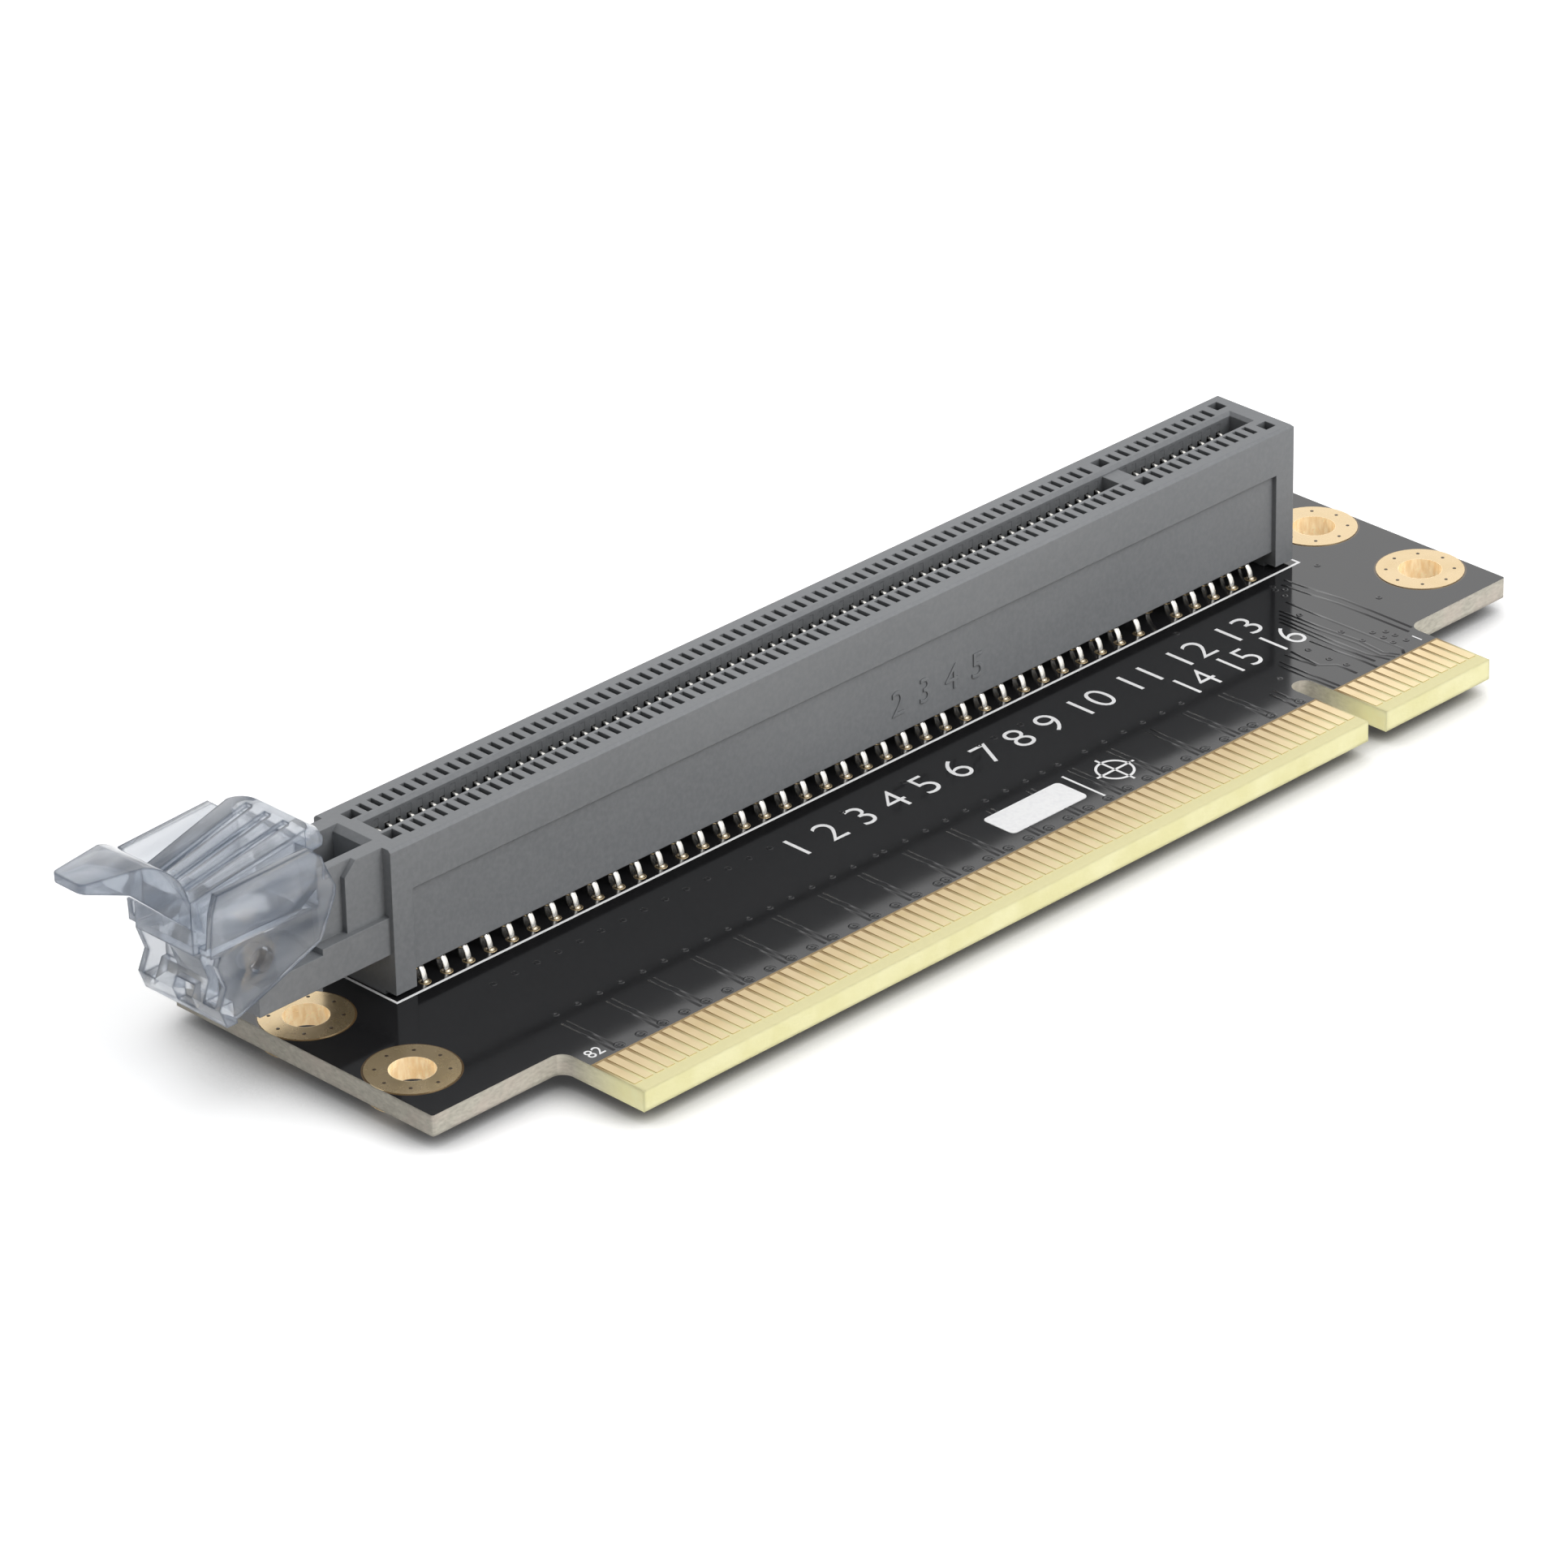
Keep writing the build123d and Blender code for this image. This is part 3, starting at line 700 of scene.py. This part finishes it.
def turned_mm(profile, sides=14, flip=1):
    """A lathe shape from a profile in millimetres; flip -1 turns it upside down."""
    points, faces = turned([(r * mm, z * mm) for r, z in profile], sides)
    if flip < 0:
        points = [(x, y, -z) for x, y, z in points]
        faces = [tuple(reversed(face)) for face in faces]
    return points, faces


def flat_ring(outer, height, flip=1):
    """A low plated ring with a rounded rim."""
    profile = [(outer, 0.0), (outer - 0.02, height * 0.8), (outer - 0.06, height), (0.2, height)]
    return turned_mm(profile, 16, flip)


solder = solder_metal()
top_places = [(x, y, board_top) for x, y in tails]
low_places = [(x, y, board_low.z) for x, y in tails]
rings = together([
    at_places(flat_ring(top_ring, ring_height), top_places),
    at_places(flat_ring(low_ring, ring_height, -1), low_places),
])
new_piece("contact_pads", land_gold, "gold_plating", *rings)
joints = together([
    at_places(turned_mm(collar_profile), top_places),
    at_places(turned_mm(cone_profile, flip=-1), low_places),
])
new_piece("solder_joints", solder, "contact_metal", *joints)

# %% [markdown]
# ## Vias
# The small dots on the board are vias: plated holes that carry a signal through and are tented by
# the solder mask. Each is a shallow rim with a dimple, and being curved it catches the light where
# the flat mask does not. They stand in three rows in front of the slot and in a loose group at the
# right. The rows are even, so a start, an end and a step describe most of them.

# %% Vias
near_slot_y, middle_y, near_fingers_y = -0.74, -6.78, -12.75


def mask_finish():
    """The board's glossy black mask, for what is raised under it."""
    finish, tree, shader = new_finish("raised_mask", IOR=1.5, Base_Color=colour(0.0135, 0.0135, 0.0145))
    fine = grain(tree, 0.5 * mm, 2.0)
    tree.links.new(between(tree, fine, 0.3, 0.7, 0.10, 0.17), shader.inputs["Roughness"])
    tree.links.new(bumped(tree, fine, 0.004 * mm), shader.inputs["Normal"])
    return finish


def run_of(start, end, step=2.0):
    """Even places from start to end."""
    return [start + step * i for i in range(round((end - start) / step) + 1)]


near_slot = run_of(-38.6, -12.6) + [-5.5, 0.6, 8.1, 9.7, 12.4]
middle_row = run_of(-38.6, -10.6) + [-8.4, -7.6] + run_of(-5.5, 6.5) + [8.2, 9.8] + run_of(12.5, 22.5)
near_fingers = run_of(-38.5, -10.5) + [-8.3, -7.6] + run_of(-5.4, 22.6) + [23.5, 25.5, 28.5]
right_group = [
    (40.55, 0.75), (40.3, 0.25), (40.85, -0.2), (40.1, -0.85), (38.55, -3.7), (45.4, 0.7),
    (38.6, -7.7), (38.6, -9.7), (40.05, -9.4), (40.0, -10.5), (40.8, -10.0), (39.9, -11.5),
    (40.85, -10.85), (40.8, -11.95), (44.55, -6.05), (34.8, -9.9), (35.0, -11.4), (34.85, -7.85),
    (30.3, 0.8), (30.1, -9.35),
]
small_profile = [(0.27, 0.0), (0.22, 0.035), (0.15, 0.04), (0.09, 0.005), (0.0, 0.003)]
wide_profile = [(0.44, 0.0), (0.38, 0.03), (0.28, 0.034), (0.2, 0.005), (0.1, 0.02), (0.0, 0.034)]
raised_mask = mask_finish()
small_places = [(x, near_slot_y) for x in near_slot] + [(x, middle_y) for x in middle_row]
small_places = [(x * mm, y * mm, board_top) for x, y in small_places + right_group]
wide_places = [(x * mm, near_fingers_y * mm, board_top) for x in near_fingers]
shape = together([
    at_places(turned_mm(small_profile, 12), small_places),
    at_places(turned_mm(wide_profile), wide_places),
])
new_piece("vias", raised_mask, "board", *shape)

# %% [markdown]
# ## Land vias
# Eight pinholes in each gold ring tie the two faces of the board together. They are too fine for
# the CAD. A low cap on the gold, sunk at its middle and coloured with the painted shade of a hole,
# reads as a hole at this size.

# %% Land vias
land_via_circle = 2.5 * mm
# Painted shade: the caps are dark where the holes would be in shade.
painted_hole_shade = new_finish("painted_hole_shade", Base_Color=colour(0.045, 0.028, 0.014), Roughness=0.45)[0]
land_via_profile = [(0.14, 0.0), (0.12, 0.012), (0.0, 0.006)]
land_via = turned_mm(land_via_profile, 12)
land_via_low = turned_mm(land_via_profile, 12, -1)
lands_low, lands_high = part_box("mounting_lands")
circle = []
for centre_x in (-land_x, land_x):
    for centre_y in (-land_y, land_y):
        for eighth in range(8):
            angle = 2 * math.pi * eighth / 8
            x = centre_x + land_via_circle * math.cos(angle)
            circle.append((x, centre_y + land_via_circle * math.sin(angle)))
shape = together([
    at_places(land_via, [(x, y, lands_high.z) for x, y in circle]),
    at_places(land_via_low, [(x, y, lands_low.z) for x, y in circle]),
])
new_piece("land_vias", painted_hole_shade, "gold_plating", *shape)

# %% [markdown]
# ## Traces
# Copper lines run from the fingers under the mask, which lies over them in low ridges. They show
# only as fine streaks of reflected light. A ribbon with sloped sides, laid along each line, gives
# exactly that. The ridges come in pairs, because each lane is a pair of wires. At the right end the
# lines wind one by one between the vias, so each of those is drawn point by point.

# %% Ribbon shape
def unit_runs(path, i, closed):
    """The directions into and out of one point of a path."""
    here = Vector(path[i])
    runs = []
    if closed or i:
        runs.append((here - Vector(path[i - 1])).normalized())
    if closed or i < len(path) - 1:
        runs.append((Vector(path[(i + 1) % len(path)]) - here).normalized())
    return runs


def ribbon(path, top_width, bottom_width, height, closed=False):
    """A low ridge along a path in the board's plane, all in millimetres."""
    count = len(path)
    points, faces = [], []
    for i in range(count):
        runs = unit_runs(path, i, closed)
        run = sum(runs, Vector((0, 0))).normalized()
        spread = 1 / max(run.dot(runs[0]), 0.5)
        left = Vector((-run.y, run.x)) * spread
        section = [(-bottom_width, 0), (-top_width, height)]
        section += [(top_width, height), (bottom_width, 0)]
        for offset, z in section:
            spot = Vector(path[i]) + left * offset / 2
            points.append((spot.x * mm, spot.y * mm, z * mm))
    for i in range(count if closed else count - 1):
        low, high = 4 * i, 4 * ((i + 1) % count)
        for k in range(3):
            faces.append((low + k + 1, low + k, high + k, high + k + 1))
    if not closed:
        faces.append((0, 1, 2, 3))
        last = 4 * (count - 1)
        faces.append((last + 3, last + 2, last + 1, last))
    return points, faces


def raised(points):
    """Lifts flat points to the board's top."""
    return [Vector(p) + Vector((0, 0, board_top)) for p in points]


print("ribbon ready")

# %% Traces
trace_width, trace_top_width = 0.30, 0.105
trace_height = 0.02
pair_gap = 0.5
pair_start_y, pair_end_y = -7.9, -13.0

pair_xs = [-39.2, -35.1, -31.2, -27.2, -23.2, -19.5, -15.15, -11.3, -6.9, -2.6]
pair_xs += [1.4, 5.4, 9.6, 13.6, 17.6, 21.4, 25.2]
trace_paths = []
for x in pair_xs:
    for offset in (0.0, pair_gap):
        trace_paths.append([(x + offset, pair_start_y), (x + offset, pair_end_y)])
trace_paths += [
    [(42.0, 0.9), (42.6, -4.3), (42.6, -10.9)],
    [(41.3, 0.5), (41.85, -4.6), (41.95, -11.2)],
    [(39.45, -1.6), (39.45, -6.2), (39.6, -12.6), (39.1, -13.2)],
    [(38.05, -2.2), (38.2, -6.5), (38.45, -9.6), (38.2, -12.0), (38.8, -13.1)],
    [(37.6, -2.6), (37.75, -6.5), (38.0, -9.7), (37.8, -12.1), (38.3, -13.1)],
    [(37.15, -3.0), (37.2, -11.3), (37.7, -13.1)],
    [(36.75, -3.4), (36.7, -9.6), (36.8, -12.5)],
    [(36.0, -7.0), (36.2, -11.0), (36.2, -13.2)],
    [(33.8, -7.1), (33.6, -10.0), (34.5, -10.9), (34.5, -12.8)],
    [(33.1, -7.1), (33.4, -9.9)],
    [(32.0, -7.6), (32.2, -13.2)],
    [(31.5, -7.9), (31.7, -13.2)],
    [(28.4, -10.2), (28.3, -13.1)],
    [(27.8, -10.5), (27.7, -13.1)],
]
lines = [ribbon(path, trace_top_width, trace_width, trace_height) for path in trace_paths]
trace_points, trace_faces = together(lines)
new_piece("traces", raised_mask, "board", raised(trace_points), trace_faces)

# %% [markdown]
# ## Printed marks
# White epoxy ink marks the slot's outline, two lines of plain numbers, the numbers of the end pins, a
# bare label and a centre mark. It is screen printed and thick enough to feel. A texture would do
# from far away, but a thin raised shape keeps its sharp edge at any distance.

# %% White ink
ink_height = 0.02


def white_ink():
    """Satin white epoxy with a slight unevenness."""
    finish, tree, shader = new_finish("white_ink", IOR=1.5)
    patchy = grain(tree, 0.3 * mm, 3.0)
    tint = blend_colours(tree, between(tree, patchy, 0.3, 0.6), colour(0.90, 0.90, 0.91), grey(0.97))
    tree.links.new(tint, shader.inputs["Base Color"])
    tree.links.new(between(tree, patchy, 0.3, 0.7, 0.42, 0.58), shader.inputs["Roughness"])
    tree.links.new(bumped(tree, patchy, 0.004 * mm), shader.inputs["Normal"])
    return finish


ink = white_ink()
print("ink is", ink_height, "mm thick")

# %% Numerals, lines and fields
def number_shape(text, height, depth, thinner=0.0):
    """Raised numerals in millimetres, their lower left corner at the origin, and their width."""
    curve = bpy.data.curves.new("numerals", "FONT")
    curve.body = text
    curve.resolution_u = 5
    curve.extrude = 0.5
    curve.offset = -thinner
    holder = bpy.data.objects.new("numerals", curve)
    stage.objects.link(holder)
    bpy.context.view_layer.update()
    graph = bpy.context.evaluated_depsgraph_get()
    mesh = bpy.data.meshes.new_from_object(holder.evaluated_get(graph))
    bpy.data.objects.remove(holder)
    xs = [v.co.x for v in mesh.vertices]
    ys = [v.co.y for v in mesh.vertices]
    scale = height / (max(ys) - min(ys))
    points = [
        ((v.co.x - min(xs)) * scale, (v.co.y - min(ys)) * scale, (v.co.z + 0.5) * depth)
        for v in mesh.vertices
    ]
    faces = [tuple(face.vertices) for face in mesh.polygons]
    return points, faces, (max(xs) - min(xs)) * scale


def printed_number(text, left, bottom, height, width=None, thinner=0.0):
    """Numerals on the board's top, stretched to a width where one is given."""
    points, faces, natural = number_shape(text, height, ink_height, thinner)
    stretch = width / natural if width else 1.0
    print("number", text, "is", round(natural, 1), "mm wide, stretched", round(stretch, 2))
    placed = [((left + x * stretch) * mm, (bottom + y) * mm, z * mm) for x, y, z in points]
    return raised(placed), faces


def printed_lines(paths, width):
    """Open or closed lines of ink on the board's top."""
    shapes = [ribbon(path, width * 0.85, width, ink_height, closed) for path, closed in paths]
    points, faces = together(shapes)
    return raised(points), faces


def rounded_field(left, bottom, right, top, radius, height):
    """A filled label with rounded corners, thick enough to cover the traces below it."""
    outline = []
    corners = [(right - radius, top - radius, 0), (left + radius, top - radius, 90)]
    corners += [(left + radius, bottom + radius, 180), (right - radius, bottom + radius, 270)]
    for x, y, start in corners:
        for step in range(5):
            angle = math.radians(start + 22.5 * step)
            outline.append((x + radius * math.cos(angle), y + radius * math.sin(angle)))
    low = [(x * mm, y * mm, 0) for x, y in outline]
    high = [(x * mm, y * mm, height * mm) for x, y in outline]
    count = len(outline)
    faces = [tuple(range(count, 2 * count))]
    faces += [(i, (i + 1) % count, count + (i + 1) % count, count + i) for i in range(count)]
    return raised(low + high), faces


print("mark helpers ready")

# %% Slot outline and numbers
frame_left, frame_right = -44.75, 44.85
frame_half = 4.05
frame_front, frame_back = slot_y / mm - frame_half, slot_y / mm + frame_half
frame_line = 0.21
thin_print = 0.012

slot_frame = [(frame_left, frame_front), (frame_right, frame_front)]
slot_frame += [(frame_right, frame_back), (frame_left, frame_back)]
shape = printed_lines([(slot_frame, True)], frame_line)
new_piece("slot_outline", ink, "board", *shape, smooth=False)
shape = together([
    printed_number("1 2 3 4 5 6 7 8 9 10 11 12 13", left=-11.4, bottom=-3.35, height=2.6,
                   width=46.8, thinner=thin_print),
    printed_number("14 15 16", left=24.6, bottom=-6.7, height=2.7, width=11.8, thinner=thin_print),
])
new_piece("board_numbers", ink, "board", *shape, smooth=False)
shape = together([
    printed_number("82", left=-41.0, bottom=-12.75, height=1.0),
    printed_number("1", left=41.5, bottom=-12.75, height=0.9),
])
new_piece("pin_numbers", ink, "board", *shape, smooth=False)

# %% Label and centre mark
mark_x, mark_y = 12.0, -10.2
ring_radius, arm_length = 1.35, 1.9
mark_line = 0.2

shape = rounded_field(left=0.25, bottom=-11.6, right=7.85, top=-8.6, radius=0.4, height=0.05)
new_piece("bare_label", ink, "board", *shape, smooth=False)
ring_angles = [i * math.pi / 16 for i in range(32)]
ring = [(mark_x + ring_radius * math.cos(a), mark_y + ring_radius * math.sin(a)) for a in ring_angles]
level_arm = [(mark_x - arm_length, mark_y), (mark_x + arm_length, mark_y)]
upright_arm = [(mark_x, mark_y - arm_length), (mark_x, mark_y + arm_length)]
divider = [(8.7, -8.24), (8.7, -12.36)]
paths = [(ring, True), (level_arm, False), (upright_arm, False), (divider, False)]
new_piece("centre_mark", ink, "board", *printed_lines(paths, mark_line), smooth=False)

# %% [markdown]
# ## Moulded numerals
# The mould leaves four raised numerals on the housing's side. They are the same plastic, so only
# their edges show. The numerals are built flat and turned up to face the front.

# %% Moulded numerals
panel_y = 2.73 * mm
numeral_height, numeral_rise, numeral_foot = 1.95, 0.09, 4.45
numeral_middles = [3.6, 6.3, 9.0, 11.6]

shapes = []
for numeral, middle in zip("2345", numeral_middles):
    points, faces, width = number_shape(numeral, numeral_height, numeral_rise)
    left = middle - width / 2
    upright = [((left + x) * mm, panel_y - z * mm, (numeral_foot + y) * mm) for x, y, z in points]
    shapes.append((upright, faces))
new_piece("moulded_numerals", slot_grey, "slot_plastic", *together(shapes), smooth=False)

# %% [markdown]
# ## Clear plastic
# The latch is moulded in smoky clear plastic, and it is the piece that the eye goes to. Clear
# plastic shows its edges: each rounded corner bends the light into a dark or bright streak. A true
# glass alone would vanish against the white ground, so part of the finish is a haze that holds some
# light, thin on flat walls and thicker at the edges. Painted shade darkens the edges, and light and
# dark streaks painted into the haze stand in for reflections inside the plastic. The body also takes
# a little of the light that crosses it.

# %% Clear plastic
edge_reach = 0.4 * mm
flat_turn, edge_turn = 0.98, 0.82
thin_haze, thick_haze = 0.20, 0.62
smoke_density = 330.0


def clear_plastic():
    """Smoky blue-grey clear moulding that lets some light through to what lies behind; painted shade
    darkens its edges and painted reflections streak its haze.
    """
    finish, tree, shader = new_finish(
        "clear_plastic", IOR=1.2, Transmission_Weight=1.0,
        Coat_Weight=1.0, Coat_IOR=1.5, Coat_Roughness=0.06
    )
    flow = grain(tree, 4 * mm, 3.0)
    tree.links.new(between(tree, flow, 0.3, 0.7, 0.09, 0.17), shader.inputs["Roughness"])
    here = add_node(tree, "ShaderNodeNewGeometry").outputs["Normal"]
    inputs = {0: here, 1: rounded_normal(tree, edge_reach)}
    turn = add_node(tree, "ShaderNodeVectorMath", inputs, operation="DOT_PRODUCT").outputs["Value"]
    edge = between(tree, turn, flat_turn, edge_turn)
    # Painted shade: the clear part turns dark at the edges, where bent light would darken it.
    wall = blend_colours(tree, edge, colour(0.90, 0.905, 0.915), colour(0.30, 0.34, 0.40))
    tree.links.new(wall, shader.inputs["Base Color"])

    # Painted reflections: light and dark streaks in the haze; at the edges the haze turns dark with
    # painted shade.
    painted_streaks = between(tree, grain(tree, 1.6 * mm, 2.0, (0.22, 1.3, 1)), 0.35, 0.65)
    haze_and_painted_light = blend_colours(tree, painted_streaks, colour(0.34, 0.38, 0.45), colour(0.95, 0.96, 0.98))
    haze_and_painted_light = blend_colours(tree, edge, haze_and_painted_light, colour(0.10, 0.12, 0.16))
    through = add_node(tree, "ShaderNodeBsdfTranslucent", {"Color": haze_and_painted_light})
    lit = add_node(tree, "ShaderNodeBsdfDiffuse", {"Color": haze_and_painted_light})
    haze = mix_shaders(tree, 0.5, through, lit)
    haze_share = between(tree, edge, 0.0, 1.0, thin_haze, thick_haze)
    body = mix_shaders(tree, haze_share, shader, haze)

    shadow_ray = add_node(tree, "ShaderNodeLightPath").outputs["Is Shadow Ray"]
    pass_light = add_node(tree, "ShaderNodeBsdfTransparent", {"Color": colour(0.70, 0.73, 0.76)})
    either = mix_shaders(tree, shadow_ray, body, pass_light)
    output = tree.nodes["Material Output"]
    tree.links.new(either.outputs[0], output.inputs["Surface"])
    inputs = {"Color": colour(0.56, 0.61, 0.67), "Density": smoke_density}
    smoke = add_node(tree, "ShaderNodeVolumeAbsorption", inputs)
    tree.links.new(smoke.outputs[0], output.inputs["Volume"])
    return finish


clear_finish = clear_plastic()
print("clear plastic ready")

# %% [markdown]
# ## Latch shape
# The CAD latch has sharp corners. The real crown has two round ones at its lip, a large one on the
# far side and a small one on the near side, and every edge is eased. A plain bevel cannot round the
# crown, because short edges there hold it back, so a block with a hollow corner trims each. Then
# a bevel rounds every hard edge of the copy, and the copy stands for the node.

# %% Crown corners
pivot = Vector((-55.95 * mm, slot_y, 9.3 * mm))
crown_half_width = 3.65
crown_end_line = [(10.0, 4.9), (8.0, 4.9), (7.35, 5.8), (6.6, 6.25), (4.0, 6.25)]
corner_radii = {1: 1.9, -1: 0.9}
side_margin, end_margin = 0.4, 0.5


def corner_outline(end, radius):
    """A quarter circle and the block outside it, as (x, y) in millimetres from the pivot."""
    middle_x, middle_y = end - radius, crown_half_width - radius
    outline = []
    for step in range(9):
        angle = math.pi * step / 16
        x, y = radius * math.cos(angle), radius * math.sin(angle)
        outline.append((middle_x + x, middle_y + y))
    far_x, far_y = end + end_margin, crown_half_width + side_margin
    return outline + [(middle_x, far_y), (far_x, far_y), (far_x, middle_y)]


def corner_cutter(side, radius):
    """A block that trims one corner of the crown to a round, following the lip's slope."""
    points, faces = [], []
    for height, end in crown_end_line:
        outline = corner_outline(end, radius)
        points += [pivot + Vector((x, side * y, height)) * mm for x, y in outline]
    count = len(points) // len(crown_end_line)
    for ring in range(len(crown_end_line) - 1):
        for i in range(count):
            low, high, j = ring * count, (ring + 1) * count, (i + 1) % count
            faces.append((low + i, low + j, high + j, high + i))
    faces += [tuple(reversed(range(count))), tuple(range(len(points) - count, len(points)))]
    mesh = bpy.data.meshes.new("corner_cutter")
    mesh.from_pydata([tuple(p) for p in points], [], faces)
    shape = bmesh.new()
    shape.from_mesh(mesh)
    bmesh.ops.recalc_face_normals(shape, faces=shape.faces)
    shape.to_mesh(mesh)
    shape.free()
    cutter = bpy.data.objects.new("corner_cutter", mesh)
    stage.objects.link(cutter)
    return cutter


cutters = [corner_cutter(side, radius) for side, radius in corner_radii.items()]
print(len(cutters), "corners to trim")

# %% Rounded latch
edge_rounding, rounding_steps = 0.12 * mm, 2
hard_edge = math.radians(25)
merge_within = 0.002 * mm


def cleaned_copy(node_name):
    """A copy of a CAD node's mesh with doubled points merged and flat faces joined."""
    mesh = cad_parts[node_name].data.copy()
    shape = bmesh.new()
    shape.from_mesh(mesh)
    bmesh.ops.remove_doubles(shape, verts=shape.verts, dist=merge_within)
    bmesh.ops.dissolve_limit(
        shape, angle_limit=math.radians(1.0), verts=shape.verts, edges=shape.edges
    )
    shape.to_mesh(mesh)
    shape.free()
    return mesh


def trim_and_round(piece, cutters):
    """Trims a piece by the cutters, rounds its hard edges and takes the cutters away."""
    for cutter in cutters:
        cut = piece.modifiers.new("corner", "BOOLEAN")
        cut.operation = "DIFFERENCE"
        cut.object = cutter
    bevel = piece.modifiers.new("rounded", "BEVEL")
    bevel.width = edge_rounding
    bevel.segments = rounding_steps
    bevel.limit_method = "ANGLE"
    bevel.angle_limit = hard_edge
    bevel.miter_outer = "MITER_ARC"
    bpy.context.view_layer.update()
    graph = bpy.context.evaluated_depsgraph_get()
    rounded = bpy.data.meshes.new_from_object(piece.evaluated_get(graph))
    piece.modifiers.clear()
    piece.data = rounded
    rounded.shade_smooth()
    for cutter in cutters:
        bpy.data.objects.remove(cutter)


latch = bpy.data.objects.new("clear_latch", cleaned_copy("retention_latch"))
stage.objects.link(latch)
trim_and_round(latch, cutters)
latch.data.materials.clear()
latch.data.materials.append(clear_finish)
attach(latch, "latch")
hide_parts("retention_latch")
print("clear_latch", len(latch.data.polygons), "faces")

# %% [markdown]
# ## Sizes and finish
# Reading the dressed card's box and its CAD box by eye would miss a hair's breadth, so both boxes
# are measured and written down side by side. The dressed card may not grow past its CAD box.

# %% Sizes and finish
dressed_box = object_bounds()
for label, (low, high) in (("cad", cad_box), ("dressed", dressed_box)):
    print(label, [round((b - a) / mm, 2) for a, b in zip(low, high)], "mm")
